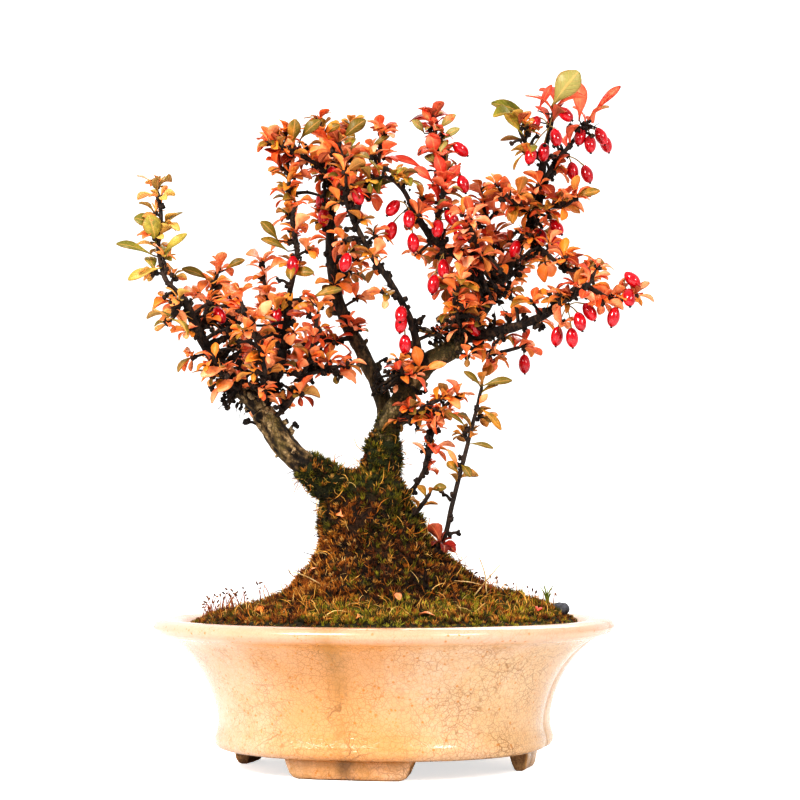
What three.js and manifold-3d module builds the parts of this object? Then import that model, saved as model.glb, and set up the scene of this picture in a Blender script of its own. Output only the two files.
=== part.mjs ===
// Japanese barberry bonsai in its four-lobed glazed pot
//
// Millimetres, Z up. The origin is the middle of the pot on the surface it stands on, and the
// side that the photograph shows faces -Y. Every leafy stem and every bunch of berries is one
// solid, 0.3 mm clear of the wood that carries it.
import * as THREE from 'three';
import { mergeVertices } from 'three/addons/utils/BufferGeometryUtils.js';
import Module from 'manifold-3d';

const wasm = await Module();
wasm.setup();
const { Manifold } = wasm;

// Clearances and fineness
const GAP = 0.3;
const SIMPLIFY = 0.04;
const FLATNESS = 0.002;

// Pot
const POT_HEIGHT = 73;
const POT_LIP_RADIUS = 115.5;
const POT_FLOOR_TOP = 19;
const POT_BASE = 9.5;
const POT_TURN = THREE.MathUtils.degToRad(-104);
const LOBE_OFFSET = 0.15;
const LOBE_OFFSET_LIP = 0.07;
const LOBE_FADE = [46, 70];
const LOBES = 4;
const POT_SEGMENTS = 28;
const GROOVE_CROWDING = 0.1;
const POT_OUTSIDE = [
  [75, POT_BASE], [83.5, 10.2], [85.9, 13.5], [84.4, 20.5], [84.4, 28], [87.5, 37.5], [94, 50.5],
  [105, 62.8], [112, 65.3], [POT_LIP_RADIUS, 69.2], [112, 72.6], [105, POT_HEIGHT],
];
const POT_INSIDE = [[73, POT_FLOOR_TOP], [80, 36], [91, 55], [101, 71]];
const FOOT_RING = [[66, 11], [68.5, 0], [74.5, 0], [78, 8], [78, 11], [66, 11]];
const FOOT_FRONT = [[26, -1], [29.5, 3], [31, 8], [31, 12]];
const FOOT_WIDTH_SHARES = [1, 0.42, 1, 0.42];
const FOOT_DEPTH = { from: 45, to: 95 };
const DRAIN_RADIUS = 13;
const DRAIN_SEGMENTS = 16;

// Soil and moss
const SOIL_EDGE_TOP = 64;
const SOIL_TOP = 67;
const SOIL_EDGE_RADIUS = 96;
const MOSS_SEGMENTS = 20;
const MOSS_ROUGHNESS = 2.6;
const MOSS_LOBE_OFFSET = 0.11;
const MOUND_LEAN = 9;
const MOUND_LEAN_FROM = 92;
const MOUND_LEAN_TO = 132;
const HILLOCK = { x: 66, height: 6, width: 20, depth: 26 };
const COLLAR_THICKNESS = [3.4, 2.8, 1.8, 0.9];
const COLLAR_CUT_TOP = 124;
const COLLAR_SHAPE = { sides: 8, steps: 3, unevenness: 0.14 };
const COLLAR_SEEDS = [700, 750];

// Bark
const BARK_UNEVENNESS = 0.16;
const LIMB_SEED_STEP = 100;

// Leaves: the outline's places are shares of the leaf's length and width
const LEAF_THICKNESS = 0.7;
const LEAF_BREADTH = 0.5;
const LEAF_WIDEST = 0.66;
const LEAF_TIP = 0.96;
const LEAF_TIP_WIDTH = 0.46;
const LEAF_ROOT = 0.8;
const LEAF_SUNK = 0.5;
const LEAF_SHORTEST = 0.95;
const LEAF_SPREAD = 0.35;
const LEAF_RISE = 0.25;
const LEAF_FORWARD = { least: 0.25, range: 0.6 };
const LEAF_TILT = 1.5;
const LONG_STEM_SHARE = 0.65;

// Berries
const BERRY_LENGTH = 9.7;
const BERRY_WIDTH = 5.5;
const STALK_RADIUS = 0.55;
const STALK_BOW = 0.8;
const KNOB_RADIUS = 1.6;
const KNOB_CLEAR = 1;
const CARRIER_SAMPLES = 24;
const GOLDEN_ANGLE = 2.399963;

// Finishes, by what they are on
const FINISHES = {
  glaze: { color: 0xf0cfa3, roughness: 0.25 },
  screen: { color: 0x2c2c2a, roughness: 0.7 },
  soil: { color: 0x3b2a1d, roughness: 1 },
  moss: { color: 0x6b6426, roughness: 1 },
  bark: { color: 0x6a5848, roughness: 0.9 },
  pebble: { color: 0x35353a, roughness: 0.6 },
  berry: { color: 0xc9152c, roughness: 0.2 },
  orange: { color: 0xdf6a32, roughness: 0.6 },
  coral: { color: 0xe07a5c, roughness: 0.6 },
  gold: { color: 0xcfa24a, roughness: 0.6 },
  olive: { color: 0x96914a, roughness: 0.6 },
  red: { color: 0xb9382c, roughness: 0.6 },
};

// Centre lines of the wood, with the radius at both ends. Each starts inside the one it grows from.
const WOOD = {
  trunk: { radii: [27, 21, 18.5, 17.5, 16, 13], sides: 10,
    points: [[-4, 0, 36], [-4, 0, 72], [-5, 0, 92], [-8, 0, 109], [-10, 0, 124], [-11, 1, 137]] },
  leftLimb: { radii: [10, 8, 6.8, 6.2, 6, 6.3, 5.6], sides: 8,
    points: [[-11, 0, 129], [-21, -4, 135], [-31, -8, 142], [-40, -12, 149], [-48, -14, 157],
      [-55, -14, 166], [-61, -12, 176]] },
  rightTrunk: { radii: [10, 7.4, 6.9, 6.6, 6.2, 5.7], sides: 8,
    points: [[-6, 2, 129], [-2, 4, 147], [-1, 4, 161], [3, 2, 172], [9, 0, 182], [13, -2, 190]] },
  thickLimb: { radii: [5.7, 5.3, 4.9, 4.4], sides: 7,
    points: [[13, -2, 190], [22, -5, 200], [32, -4, 206], [39, 0, 213]] },
  leftFork: { radii: [4.6, 4, 3.5, 2.8, 2.3, 1.8], sides: 6,
    points: [[1, 3, 168], [-1, 8, 182], [-11, 15, 205], [-22, 20, 227], [-28, 16, 258],
      [-26, 8, 288]] },
  leftArm: { radii: [5, 3.9, 3, 2.5, 2], sides: 6,
    points: [[-61, -12, 176], [-71, -16, 186], [-80, -22, 195], [-90, -32, 212], [-98, -36, 230]] },
  leftRiser: { radii: [3, 2.4, 2, 1.7], sides: 6,
    points: [[-61, -12, 176], [-56, -8, 187], [-51, -6, 204], [-47, -16, 234]] },
  longRod: { radii: [2.1, 1.8, 1.6, 1.5, 1.4], sides: 5,
    points: [[18, -6, 199], [13, -18, 219], [4, -26, 236], [-7, -30, 252], [-15, -32, 267]] },
  rightArm: { radii: [3.3, 2.6, 2.3, 2.1, 1.8], sides: 6,
    points: [[39, 0, 213], [52, -12, 214], [77, -32, 221], [91, -42, 232], [96, -44, 236]] },
  rightLeader: { radii: [4.3, 3.5, 3, 2.7, 2.4, 2.1, 1.7], sides: 6,
    points: [[39, 0, 213], [48, 12, 226], [61, 22, 248], [70, 24, 264], [78, 20, 283],
      [80, 14, 301], [82, 12, 312]] },
  heartArm: { radii: [2.8, 2.4, 2.1, 1.9, 1.6], sides: 5,
    points: [[53, 18, 235], [39, -4, 251], [22, -14, 263], [16, -18, 272], [12, -20, 279]] },
};

// Leafy stems: where each runs, how many leaves the solid has, how long they are, their colour
const SPRAYS = {
  far_left: { leaves: 9, size: 15, tone: 'gold', stems: [
    [[-98, -36, 230], [-106, -38, 238], [-110, -36, 255], [-109, -34, 269], [-111, -32, 283]],
    [[-98, -36, 230], [-101, -42, 221], [-104, -46, 217]]] },
  left_inner: { leaves: 8, size: 12, tone: 'orange', stems: [
    [[-90, -32, 212], [-88, -20, 224], [-86, -12, 236], [-83, -6, 245]]] },
  left_back: { leaves: 9, size: 12.5, tone: 'coral', stems: [
    [[-68, -12, 182], [-71, 12, 195], [-75, 26, 208], [-78, 36, 225], [-81, 40, 239]]] },
  left_low: { leaves: 8, size: 12, tone: 'orange', stems: [
    [[-69, -14, 184], [-75, -30, 188], [-80, -42, 194], [-83, -48, 202]]] },
  left_mid: { leaves: 9, size: 12, tone: 'coral', stems: [
    [[-55, -8, 190], [-54, 12, 207], [-57, 20, 224], [-61, 24, 238], [-63, 26, 251]]] },
  left_front: { leaves: 9, size: 12, tone: 'orange', stems: [
    [[-63, -14, 179], [-58, -36, 192], [-61, -48, 206], [-66, -54, 218], [-69, -54, 228]]] },
  left_gap: { leaves: 8, size: 11.5, tone: 'orange', stems: [
    [[-58, -14, 169], [-47, -20, 179], [-41, -24, 190], [-36, -28, 204], [-32, -32, 225]],
    [[-40, -24, 192], [-29, -20, 196], [-20, -14, 198]]] },
  left_tall: { leaves: 9, size: 12, tone: 'orange', stems: [
    [[-47, -16, 234], [-43, -26, 253], [-45, -28, 266], [-47, -26, 287], [-49, -20, 311]]] },
  fork_side: { leaves: 6, size: 12, tone: 'coral', stems: [
    [[-15, 18, 214], [-27, 8, 212], [-39, 4, 211]]] },
  fork_inner: { leaves: 6, size: 12, tone: 'orange', stems: [
    [[-27, 20, 241], [-21, 32, 249], [-18, 40, 259]]] },
  crown_mid: { leaves: 7, size: 13, tone: 'orange', stems: [
    [[-26, 8, 288], [-26, 4, 300], [-30, 0, 311], [-33, 0, 321]]] },
  crown_left: { leaves: 8, size: 13, tone: 'orange', stems: [
    [[-26, 8, 289], [-32, -8, 297], [-40, -18, 301], [-56, -28, 306]]] },
  crown_back: { leaves: 7, size: 13, tone: 'olive', stems: [
    [[-26, 8, 287], [-23, 28, 303], [-19, 40, 316], [-18, 44, 325]]] },
  crown_front: { leaves: 7, size: 12.5, tone: 'orange', stems: [
    [[-15, -32, 267], [-19, -38, 278], [-19, -42, 291], [-22, -42, 303]]] },
  crown_right: { leaves: 8, size: 12.5, tone: 'coral', stems: [
    [[-15, -32, 266], [-11, -24, 281], [-4, -16, 295], [-2, -8, 314]]] },
  heart_green: { leaves: 7, size: 13, tone: 'olive', stems: [
    [[13, -20, 277], [8, -26, 285], [1, -32, 289], [-6, -36, 287]]] },
  heart_top: { leaves: 9, size: 13, tone: 'red', stems: [
    [[23, -14, 263], [27, -10, 274], [29, -4, 287], [28, 2, 302], [24, 6, 323]]] },
  heart_back: { leaves: 8, size: 12.5, tone: 'coral', stems: [
    [[55, 19, 238], [55, 26, 256], [54, 32, 269], [50, 38, 291]]] },
  heart_right: { leaves: 7, size: 12, tone: 'orange', stems: [
    [[75, 22, 276], [68, 6, 280], [61, -6, 283], [56, -12, 287]]] },
  heart_low: { leaves: 6, size: 12, tone: 'coral', stems: [
    [[45, 3, 247], [46, -16, 255], [43, -26, 263], [39, -30, 270]]] },
  top: { leaves: 6, size: 18, tone: 'red', stems: [
    [[82, 12, 312], [84, 10, 321], [86, 8, 332]]] },
  top_left: { leaves: 6, size: 15, tone: 'olive', stems: [
    [[81, 14, 303], [74, 4, 307], [69, -4, 313], [65, -8, 322]]] },
  top_right: { leaves: 6, size: 15, tone: 'red', stems: [
    [[81, 15, 294], [86, 22, 303], [94, 28, 313], [106, 34, 329]]] },
  right_high: { leaves: 7, size: 13, tone: 'orange', stems: [
    [[77, 21, 281], [84, 10, 280], [90, 0, 279], [95, -6, 282]]] },
  right_mid: { leaves: 8, size: 13, tone: 'orange', stems: [
    [[70, 24, 263], [79, 14, 259], [86, 2, 251], [93, -6, 246], [100, -12, 246]]] },
  right_front: { leaves: 7, size: 12.5, tone: 'coral', stems: [
    [[86, -38, 227], [91, -52, 229], [96, -58, 232], [101, -60, 241]]] },
  right_tip: { leaves: 7, size: 12, tone: 'orange', stems: [
    [[96, -44, 236], [103, -46, 231], [110, -46, 228], [119, -50, 229]]] },
  right_back: { leaves: 8, size: 12.5, tone: 'orange', stems: [
    [[58, 20, 241], [68, 40, 251], [78, 54, 263], [81, 60, 271]]] },
  right_low: { leaves: 6, size: 12, tone: 'coral', stems: [
    [[39, 0, 210], [46, 12, 207], [54, 20, 206], [70, 26, 210]]] },
  center_back: { leaves: 8, size: 12.5, tone: 'orange', stems: [
    [[43, 6, 218], [38, 26, 236], [32, 38, 247], [23, 50, 265]]] },
  center_front: { leaves: 6, size: 12, tone: 'orange', stems: [
    [[39, 0, 212], [36, -20, 221], [34, -30, 229], [37, -36, 236]]] },
  collar: { leaves: 5, size: 11.5, tone: 'coral', stems: [
    [[13, -2, 189], [9, -16, 194], [7, -22, 199]]] },
  trunk_side: { leaves: 6, size: 11.5, tone: 'orange', stems: [
    [[3, 2, 172], [13, -10, 173], [21, -18, 178], [28, -20, 181]]] },
  sucker_inner: { leaves: 8, size: 11.5, tone: 'coral', stems: [
    [[6, 4, 132], [14, -2, 137], [20, -8, 148], [22, -10, 159], [29, -14, 177], [35, -16, 182]]] },
  sucker_outer: { leaves: 9, size: 11.5, tone: 'orange', stems: [
    [[17, -12, 99], [28, -18, 110], [33, -22, 129], [36, -22, 141], [41, -20, 160], [48, -24, 188]]] },
  sucker_short: { leaves: 5, size: 10.5, tone: 'orange', stems: [
    [[8, -4, 122], [15, -14, 125], [19, -18, 130], [23, -20, 136]]] },
};

// Bunches of berries: the middle of each berry
const BUNCHES = {
  top: [[75, 2, 321], [91, 4, 326], [86, 2, 314], [80, 5, 307], [73, -3, 304]],
  top_right: [[100, 26, 318], [105, 24, 314], [111, 30, 319], [114, 36, 316]],
  top_hang: [[96, 24, 300], [103, 20, 298]],
  heart_top: [[38, 2, 308], [39, -8, 289]],
  leader: [[79, 14, 265], [87, 14, 270], [86, 21, 263], [66, 17, 259]],
  heart: [[33, -16, 271], [37, -20, 263], [26, -22, 265]],
  crown: [[-26, -9, 294], [-24, 2, 287], [-32, 6, 283], [-31, 6, 274]],
  heart_green: [[4, -24, 275], [3, -20, 264], [12, -28, 269], [14, -22, 258]],
  heart_low: [[29, -14, 246], [24, -16, 238]],
  rod: [[8, -24, 218], [8, -31, 222], [10, -20, 208]],
  limb: [[44, -12, 217]],
  left: [[-54, -14, 222]],
  far_left: [[-81, -26, 222]],
  right_tip: [[119, -51, 237], [117, -55, 228], [110, -50, 219]],
  right_arm: [[99, -44, 222], [94, -48, 217], [84, -32, 211], [91, -37, 210]],
  right_low: [[71, 24, 201]],
  back_left: [[-72, 36, 207]],
  back_heart: [[40, 38, 232], [34, 42, 235]],
};

// A draw between 0 and 1, always the same for the same number
function draw(number) {
  const wave = Math.sin(number * 12.9898 + 4.137) * 43758.5453;
  return wave - Math.floor(wave);
}

function vector(point) {
  return new THREE.Vector3(point[0], point[1], point[2]);
}

// Joins a geometry's corners and makes a solid of it
function solidOf(geometry) {
  const bare = geometry.clone();
  bare.deleteAttribute('normal');
  bare.deleteAttribute('uv');
  const joined = mergeVertices(bare, 1e-4);
  const corners = joined.index.array;
  const triangles = [];
  for (let i = 0; i < corners.length; i += 3) {
    const [a, b, c] = [corners[i], corners[i + 1], corners[i + 2]];
    if (a !== b && b !== c && c !== a) triangles.push(a, b, c);
  }
  return new Manifold(new wasm.Mesh({
    numProp: 3,
    vertProperties: new Float32Array(joined.attributes.position.array),
    triVerts: new Uint32Array(triangles),
    tolerance: FLATNESS,
  }));
}

// The largest body of a solid: scrap is dropped and a sealed hollow is filled
function oneBody(solid) {
  const bodies = solid.simplify(SIMPLIFY).decompose();
  return bodies.reduce((best, body) => (body.volume() > best.volume() ? body : best));
}

function addNode(group, name, solid, finish) {
  const mesh = oneBody(solid).getMesh();
  const geometry = new THREE.BufferGeometry();
  geometry.setAttribute('position', new THREE.BufferAttribute(mesh.vertProperties, 3));
  geometry.setIndex(new THREE.BufferAttribute(mesh.triVerts, 1));
  geometry.computeVertexNormals();
  const material = new THREE.MeshStandardMaterial({ ...finish, metalness: 0, flatShading: true });
  const node = new THREE.Mesh(geometry, material);
  node.name = name;
  group.add(node);
}

function boxesMeet(one, other) {
  const a = one.boundingBox();
  const b = other.boundingBox();
  return [0, 1, 2].every((axis) => a.min[axis] < b.max[axis] && b.min[axis] < a.max[axis]);
}

function isClear(solid, others) {
  return others.every((other) => !boxesMeet(solid, other) || solid.intersect(other).isEmpty());
}

// Wood and stems: tubes that taper along a smooth line

function lineOf(points) {
  return new THREE.CatmullRomCurve3(points.map(vector), false, 'centripetal');
}

function radiusAt(radii, share) {
  const place = share * (radii.length - 1);
  const before = Math.min(Math.floor(place), radii.length - 2);
  return THREE.MathUtils.lerp(radii[before], radii[before + 1], place - before);
}

// A tube with uneven sides. Extra makes it fatter all round, for the clearance round it.
function tube({ points, radii, sides, steps, seed = 0, unevenness = 0 }, extra = 0) {
  const line = lineOf(points);
  const frames = line.computeFrenetFrames(steps, false);
  const geometry = new THREE.CylinderGeometry(1, 1, 1, sides, steps);
  const corner = geometry.attributes.position;
  for (let i = 0; i < corner.count; i++) {
    const share = corner.getY(i) + 0.5;
    const ring = Math.round(share * steps);
    const side = Math.round((Math.atan2(corner.getX(i), corner.getZ(i)) / (2 * Math.PI) + 1) * sides) % sides;
    const swell = 1 + unevenness * (draw(seed + ring * 17 + side) - 0.5);
    const radius = radiusAt(radii, share) * swell + extra / Math.cos(Math.PI / sides);
    const beyond = (ring === 0 ? -extra : 0) + (ring === steps ? extra : 0);
    const place = line.getPointAt(share)
      .addScaledVector(frames.tangents[ring], beyond)
      .addScaledVector(frames.normals[ring], corner.getX(i) * radius)
      .addScaledVector(frames.binormals[ring], -corner.getZ(i) * radius);
    corner.setXYZ(i, place.x, place.y, place.z);
  }
  return solidOf(geometry);
}

const STEM_RADII = [1.6, 1.35, 1.1];

const limbs = Object.values(WOOD).map((limb, number) => ({
  ...limb,
  steps: limb.points.length,
  seed: number * LIMB_SEED_STEP,
  unevenness: BARK_UNEVENNESS,
}));

const stems = Object.entries(SPRAYS).flatMap(([name, spray]) => spray.stems.map((points) => ({
  name,
  points,
  radii: STEM_RADII,
  sides: 3,
  steps: points.length - 1,
})));

function sampled(stem) {
  const line = lineOf(stem.points);
  return Array.from({ length: CARRIER_SAMPLES + 1 }, (_, i) => ({
    centre: line.getPointAt(i / CARRIER_SAMPLES),
    radius: radiusAt(stem.radii, i / CARRIER_SAMPLES),
  }));
}

function makeWood() {
  const wood = Manifold.union(limbs.map((limb) => tube(limb)));
  const clearance = Manifold.union(limbs.map((limb) => tube(limb, GAP)));
  return { wood, clearance };
}

// Each stem is cut back to just clear of the wood and of the stems before it
function makeStems(woodClearance) {
  const earlier = [];
  const solids = {};
  for (const stem of stems) {
    const others = earlier.filter((other) => other.name !== stem.name);
    let solid = tube(stem).subtract(woodClearance);
    for (const other of others) {
      if (boxesMeet(solid, other.clearance)) solid = solid.subtract(other.clearance);
    }
    solid = oneBody(solid);
    solids[stem.name] = solids[stem.name] ? solids[stem.name].add(solid) : solid;
    earlier.push({ name: stem.name, clearance: tube(stem, GAP) });
  }
  return { solids, clearances: earlier };
}

// Leaves: spoon-shaped blades in rosettes along the outer part of each stem

const ROSETTE = 3;
const ROSETTE_FIRST = 0.3;
const ROSETTE_PITCH = 2.2;
const TURNS = [0, 0.7, -0.7, 1.4, -1.4, 2.1, -2.1, 3.1];

function leafSites(name, number) {
  const { leaves, size, stems: routes } = SPRAYS[name];
  const longer = Math.ceil(leaves * LONG_STEM_SHARE);
  const shares = routes.length === 1 ? [leaves] : [longer, leaves - longer];
  return routes.flatMap((points, route) => {
    const line = lineOf(points);
    const rosettes = Math.ceil(shares[route] / ROSETTE);
    return Array.from({ length: shares[route] }, (_, leaf) => {
      const seed = number * 1000 + route * 500 + leaf * 3;
      const rosette = Math.floor(leaf / ROSETTE) + 1;
      const inRosette = ROSETTE - 1 - (leaf % ROSETTE);
      const along = ROSETTE_FIRST + (1 - ROSETTE_FIRST) * rosette / rosettes
        - inRosette * ROSETTE_PITCH / line.getLength();
      return {
        seed,
        centre: line.getPointAt(along),
        tangent: line.getTangentAt(along),
        stemRadius: radiusAt(STEM_RADII, along),
        roll: leaf * GOLDEN_ANGLE + number,
        length: size * (LEAF_SHORTEST + LEAF_SPREAD * draw(seed + 1)),
      };
    });
  });
}

function leafFrame(site, turn) {
  const up = new THREE.Vector3(0, 0, 1);
  const aside = Math.abs(site.tangent.z) < 0.9 ? up : new THREE.Vector3(1, 0, 0);
  const across = new THREE.Vector3().crossVectors(site.tangent, aside).normalize();
  const outward = across.applyAxisAngle(site.tangent, site.roll + turn);
  const direction = outward.clone()
    .addScaledVector(site.tangent, LEAF_FORWARD.least + LEAF_FORWARD.range * draw(site.seed + 2))
    .addScaledVector(up, LEAF_RISE)
    .normalize();
  const side = new THREE.Vector3().crossVectors(up, direction).normalize()
    .applyAxisAngle(direction, (draw(site.seed + 3) - 0.5) * LEAF_TILT);
  const normal = new THREE.Vector3().crossVectors(direction, side);
  const base = site.centre.clone().addScaledVector(outward, site.stemRadius - LEAF_SUNK);
  return new THREE.Matrix4().makeBasis(direction, side, normal).setPosition(base);
}

function leafSolid(site, turn, extra = 0) {
  const { length } = site;
  const halfWidth = length * LEAF_BREADTH / 2 + extra;
  const tip = length * LEAF_TIP + extra;
  const outline = new THREE.Shape([
    new THREE.Vector2(length * LEAF_WIDEST, -halfWidth),
    new THREE.Vector2(tip, -halfWidth * LEAF_TIP_WIDTH),
    new THREE.Vector2(tip, halfWidth * LEAF_TIP_WIDTH),
    new THREE.Vector2(length * LEAF_WIDEST, halfWidth),
    new THREE.Vector2(-LEAF_ROOT - extra, 0),
  ]);
  const depth = LEAF_THICKNESS + 2 * extra;
  const geometry = new THREE.ExtrudeGeometry(outline, { depth, bevelEnabled: false });
  geometry.translate(0, 0, -depth / 2);
  geometry.applyMatrix4(leafFrame(site, turn));
  return solidOf(geometry);
}

// Berries: each hangs on its own stalk from the bunch's knob, beside the wood

function nearestSurface(point, carriers) {
  let best = { distance: Infinity };
  for (const { centre, radius } of carriers) {
    const distance = centre.distanceTo(point) - radius;
    if (distance < best.distance) best = { distance, centre, radius };
  }
  const outward = point.clone().sub(best.centre).normalize();
  return best.centre.clone().addScaledVector(outward, best.radius + GAP + KNOB_CLEAR);
}

function berrySolid(middle, knob, extra = 0) {
  const toKnob = knob.clone().sub(middle).normalize();
  const axis = toKnob.multiplyScalar(0.6).add(new THREE.Vector3(0, 0, 0.8)).normalize();
  const berry = new THREE.SphereGeometry(1, 6, 4);
  berry.scale(BERRY_WIDTH / 2 + extra, BERRY_LENGTH / 2 + extra, BERRY_WIDTH / 2 + extra);
  berry.applyQuaternion(new THREE.Quaternion().setFromUnitVectors(new THREE.Vector3(0, 1, 0), axis));
  berry.translate(middle.x, middle.y, middle.z);
  const top = middle.clone().addScaledVector(axis, BERRY_LENGTH / 2 - 1);
  const bend = top.clone().lerp(knob, 0.5).addScaledVector(axis, STALK_BOW);
  const radius = STALK_RADIUS + extra;
  const stalk = tube({
    points: [knob.toArray(), bend.toArray(), top.toArray()],
    radii: [radius, radius],
    sides: 3,
    steps: 1,
  });
  return solidOf(berry).add(stalk);
}

const SHIFTS = [[0, 0, 0], [0, -3, 0], [0, 3, 0], [0, 0, -3], [0, -6, -1], [0, 6, -1], [3, 0, 0], [-3, 0, 0]];

function makeBunch(middles, carriers, clearances, blockers) {
  const points = middles.map(vector);
  const mean = points.reduce((sum, point) => sum.add(point), new THREE.Vector3())
    .divideScalar(points.length)
    .add(new THREE.Vector3(0, 0, BERRY_LENGTH / 2));
  const knob = nearestSurface(mean, carriers);
  const ball = new THREE.OctahedronGeometry(KNOB_RADIUS, 0).translate(knob.x, knob.y, knob.z);
  const parts = [solidOf(ball)];
  for (const point of points) {
    const place = SHIFTS.map((shift) => point.clone().add(vector(shift)))
      .find((middle) => isClear(berrySolid(middle, knob, GAP), blockers));
    if (place) parts.push(berrySolid(place, knob));
  }
  let bunch = Manifold.union(parts);
  for (const clearance of clearances) {
    if (boxesMeet(bunch, clearance)) bunch = bunch.subtract(clearance);
  }
  return oneBody(bunch);
}

// Pot

// How far out the four-lobed outline is at an angle from a groove, as a share of the widest
function lobeShare(angle, offset) {
  const span = 2 * Math.PI / LOBES;
  const away = THREE.MathUtils.euclideanModulo(angle, span) - span / 2;
  return offset * Math.cos(away) + Math.sqrt((1 - offset) ** 2 - (offset * Math.sin(away)) ** 2);
}

// Turns a profile of [radius, height] about the pot's axis, with the lobes and grooves in it
function lobedSolid(profile) {
  const outline = profile.map(([radius, height]) => new THREE.Vector2(radius, height));
  const geometry = new THREE.LatheGeometry(outline, POT_SEGMENTS);
  geometry.rotateX(Math.PI / 2);
  const corner = geometry.attributes.position;
  for (let i = 0; i < corner.count; i++) {
    const even = Math.atan2(corner.getY(i), corner.getX(i));
    const angle = even - GROOVE_CROWDING * Math.sin(LOBES * even);
    const height = corner.getZ(i);
    const nearLip = THREE.MathUtils.smoothstep(height, ...LOBE_FADE);
    const offset = THREE.MathUtils.lerp(LOBE_OFFSET, LOBE_OFFSET_LIP, nearLip);
    const radius = Math.hypot(corner.getX(i), corner.getY(i)) * lobeShare(angle, offset);
    corner.setXYZ(i, Math.cos(angle) * radius, Math.sin(angle) * radius, height);
  }
  return solidOf(geometry).rotate([0, 0, THREE.MathUtils.radToDeg(POT_TURN)]);
}

function makePot() {
  const inside = POT_INSIDE.toReversed();
  const bowl = lobedSolid([[0, POT_BASE], ...POT_OUTSIDE, ...inside, [0, POT_FLOOR_TOP]]);
  const footRing = lobedSolid(FOOT_RING);
  const left = FOOT_FRONT.toReversed().map(([across, height]) => [-across, height]);
  const feet = FOOT_WIDTH_SHARES.map((share, foot) => {
    const corners = [...FOOT_FRONT, ...left].map(([x, y]) => new THREE.Vector2(x * share, y));
    const front = new THREE.Shape(corners);
    const depth = FOOT_DEPTH.to - FOOT_DEPTH.from;
    const prism = new THREE.ExtrudeGeometry(front, { depth, bevelEnabled: false });
    prism.rotateX(Math.PI / 2).translate(0, -FOOT_DEPTH.from, 0);
    const quarterTurns = 90 * (foot + 1);
    return solidOf(prism)
      .rotate([0, 0, quarterTurns + THREE.MathUtils.radToDeg(POT_TURN)])
      .intersect(footRing);
  });
  const cutter = new THREE.CylinderGeometry(DRAIN_RADIUS, DRAIN_RADIUS, 2 * POT_FLOOR_TOP + 2, DRAIN_SEGMENTS);
  return Manifold.union([bowl, ...feet]).subtract(solidOf(cutter.rotateX(Math.PI / 2)));
}

const SCREEN_SIDE = 36;
const SCREEN_THICKNESS = 1.2;
const SCREEN_BOTTOM = POT_FLOOR_TOP + GAP;
const SCREEN_OPENING = 6;
const SCREEN_PITCH = 8;

function makeScreen() {
  const middle = SCREEN_BOTTOM + SCREEN_THICKNESS / 2;
  const plate = new THREE.BoxGeometry(SCREEN_SIDE, SCREEN_SIDE, SCREEN_THICKNESS);
  let screen = solidOf(plate.translate(0, 0, middle));
  for (let row = -1; row <= 1; row++) {
    for (let column = -1; column <= 1; column++) {
      const hole = new THREE.BoxGeometry(SCREEN_OPENING, SCREEN_OPENING, 4 * SCREEN_THICKNESS);
      hole.translate(row * SCREEN_PITCH, column * SCREEN_PITCH, middle);
      screen = screen.subtract(solidOf(hole));
    }
  }
  return screen;
}

// Soil and moss

function makeSoil(woodClearance) {
  const clear = 2 * GAP;
  const wall = POT_INSIDE.slice(0, 3).map(([radius, height]) => [radius - clear, height + GAP]);
  const soil = lobedSolid([[0, SCREEN_BOTTOM], ...wall, [SOIL_EDGE_RADIUS, SOIL_EDGE_TOP], [0, SOIL_TOP]]);
  const nook = new THREE.BoxGeometry(SCREEN_SIDE + 1, SCREEN_SIDE + 1, 2 * (SCREEN_THICKNESS + GAP));
  return soil.subtract(woodClearance).subtract(solidOf(nook.translate(0, 0, SCREEN_BOTTOM)));
}

const MOSS_PROFILE = [
  [97.5, 70], [88, 74], [70, 77.5], [53, 83], [40.5, 94], [30.5, 106], [26, 117],
  [22.5, 128], [18, 139], [0, 147],
];

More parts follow.
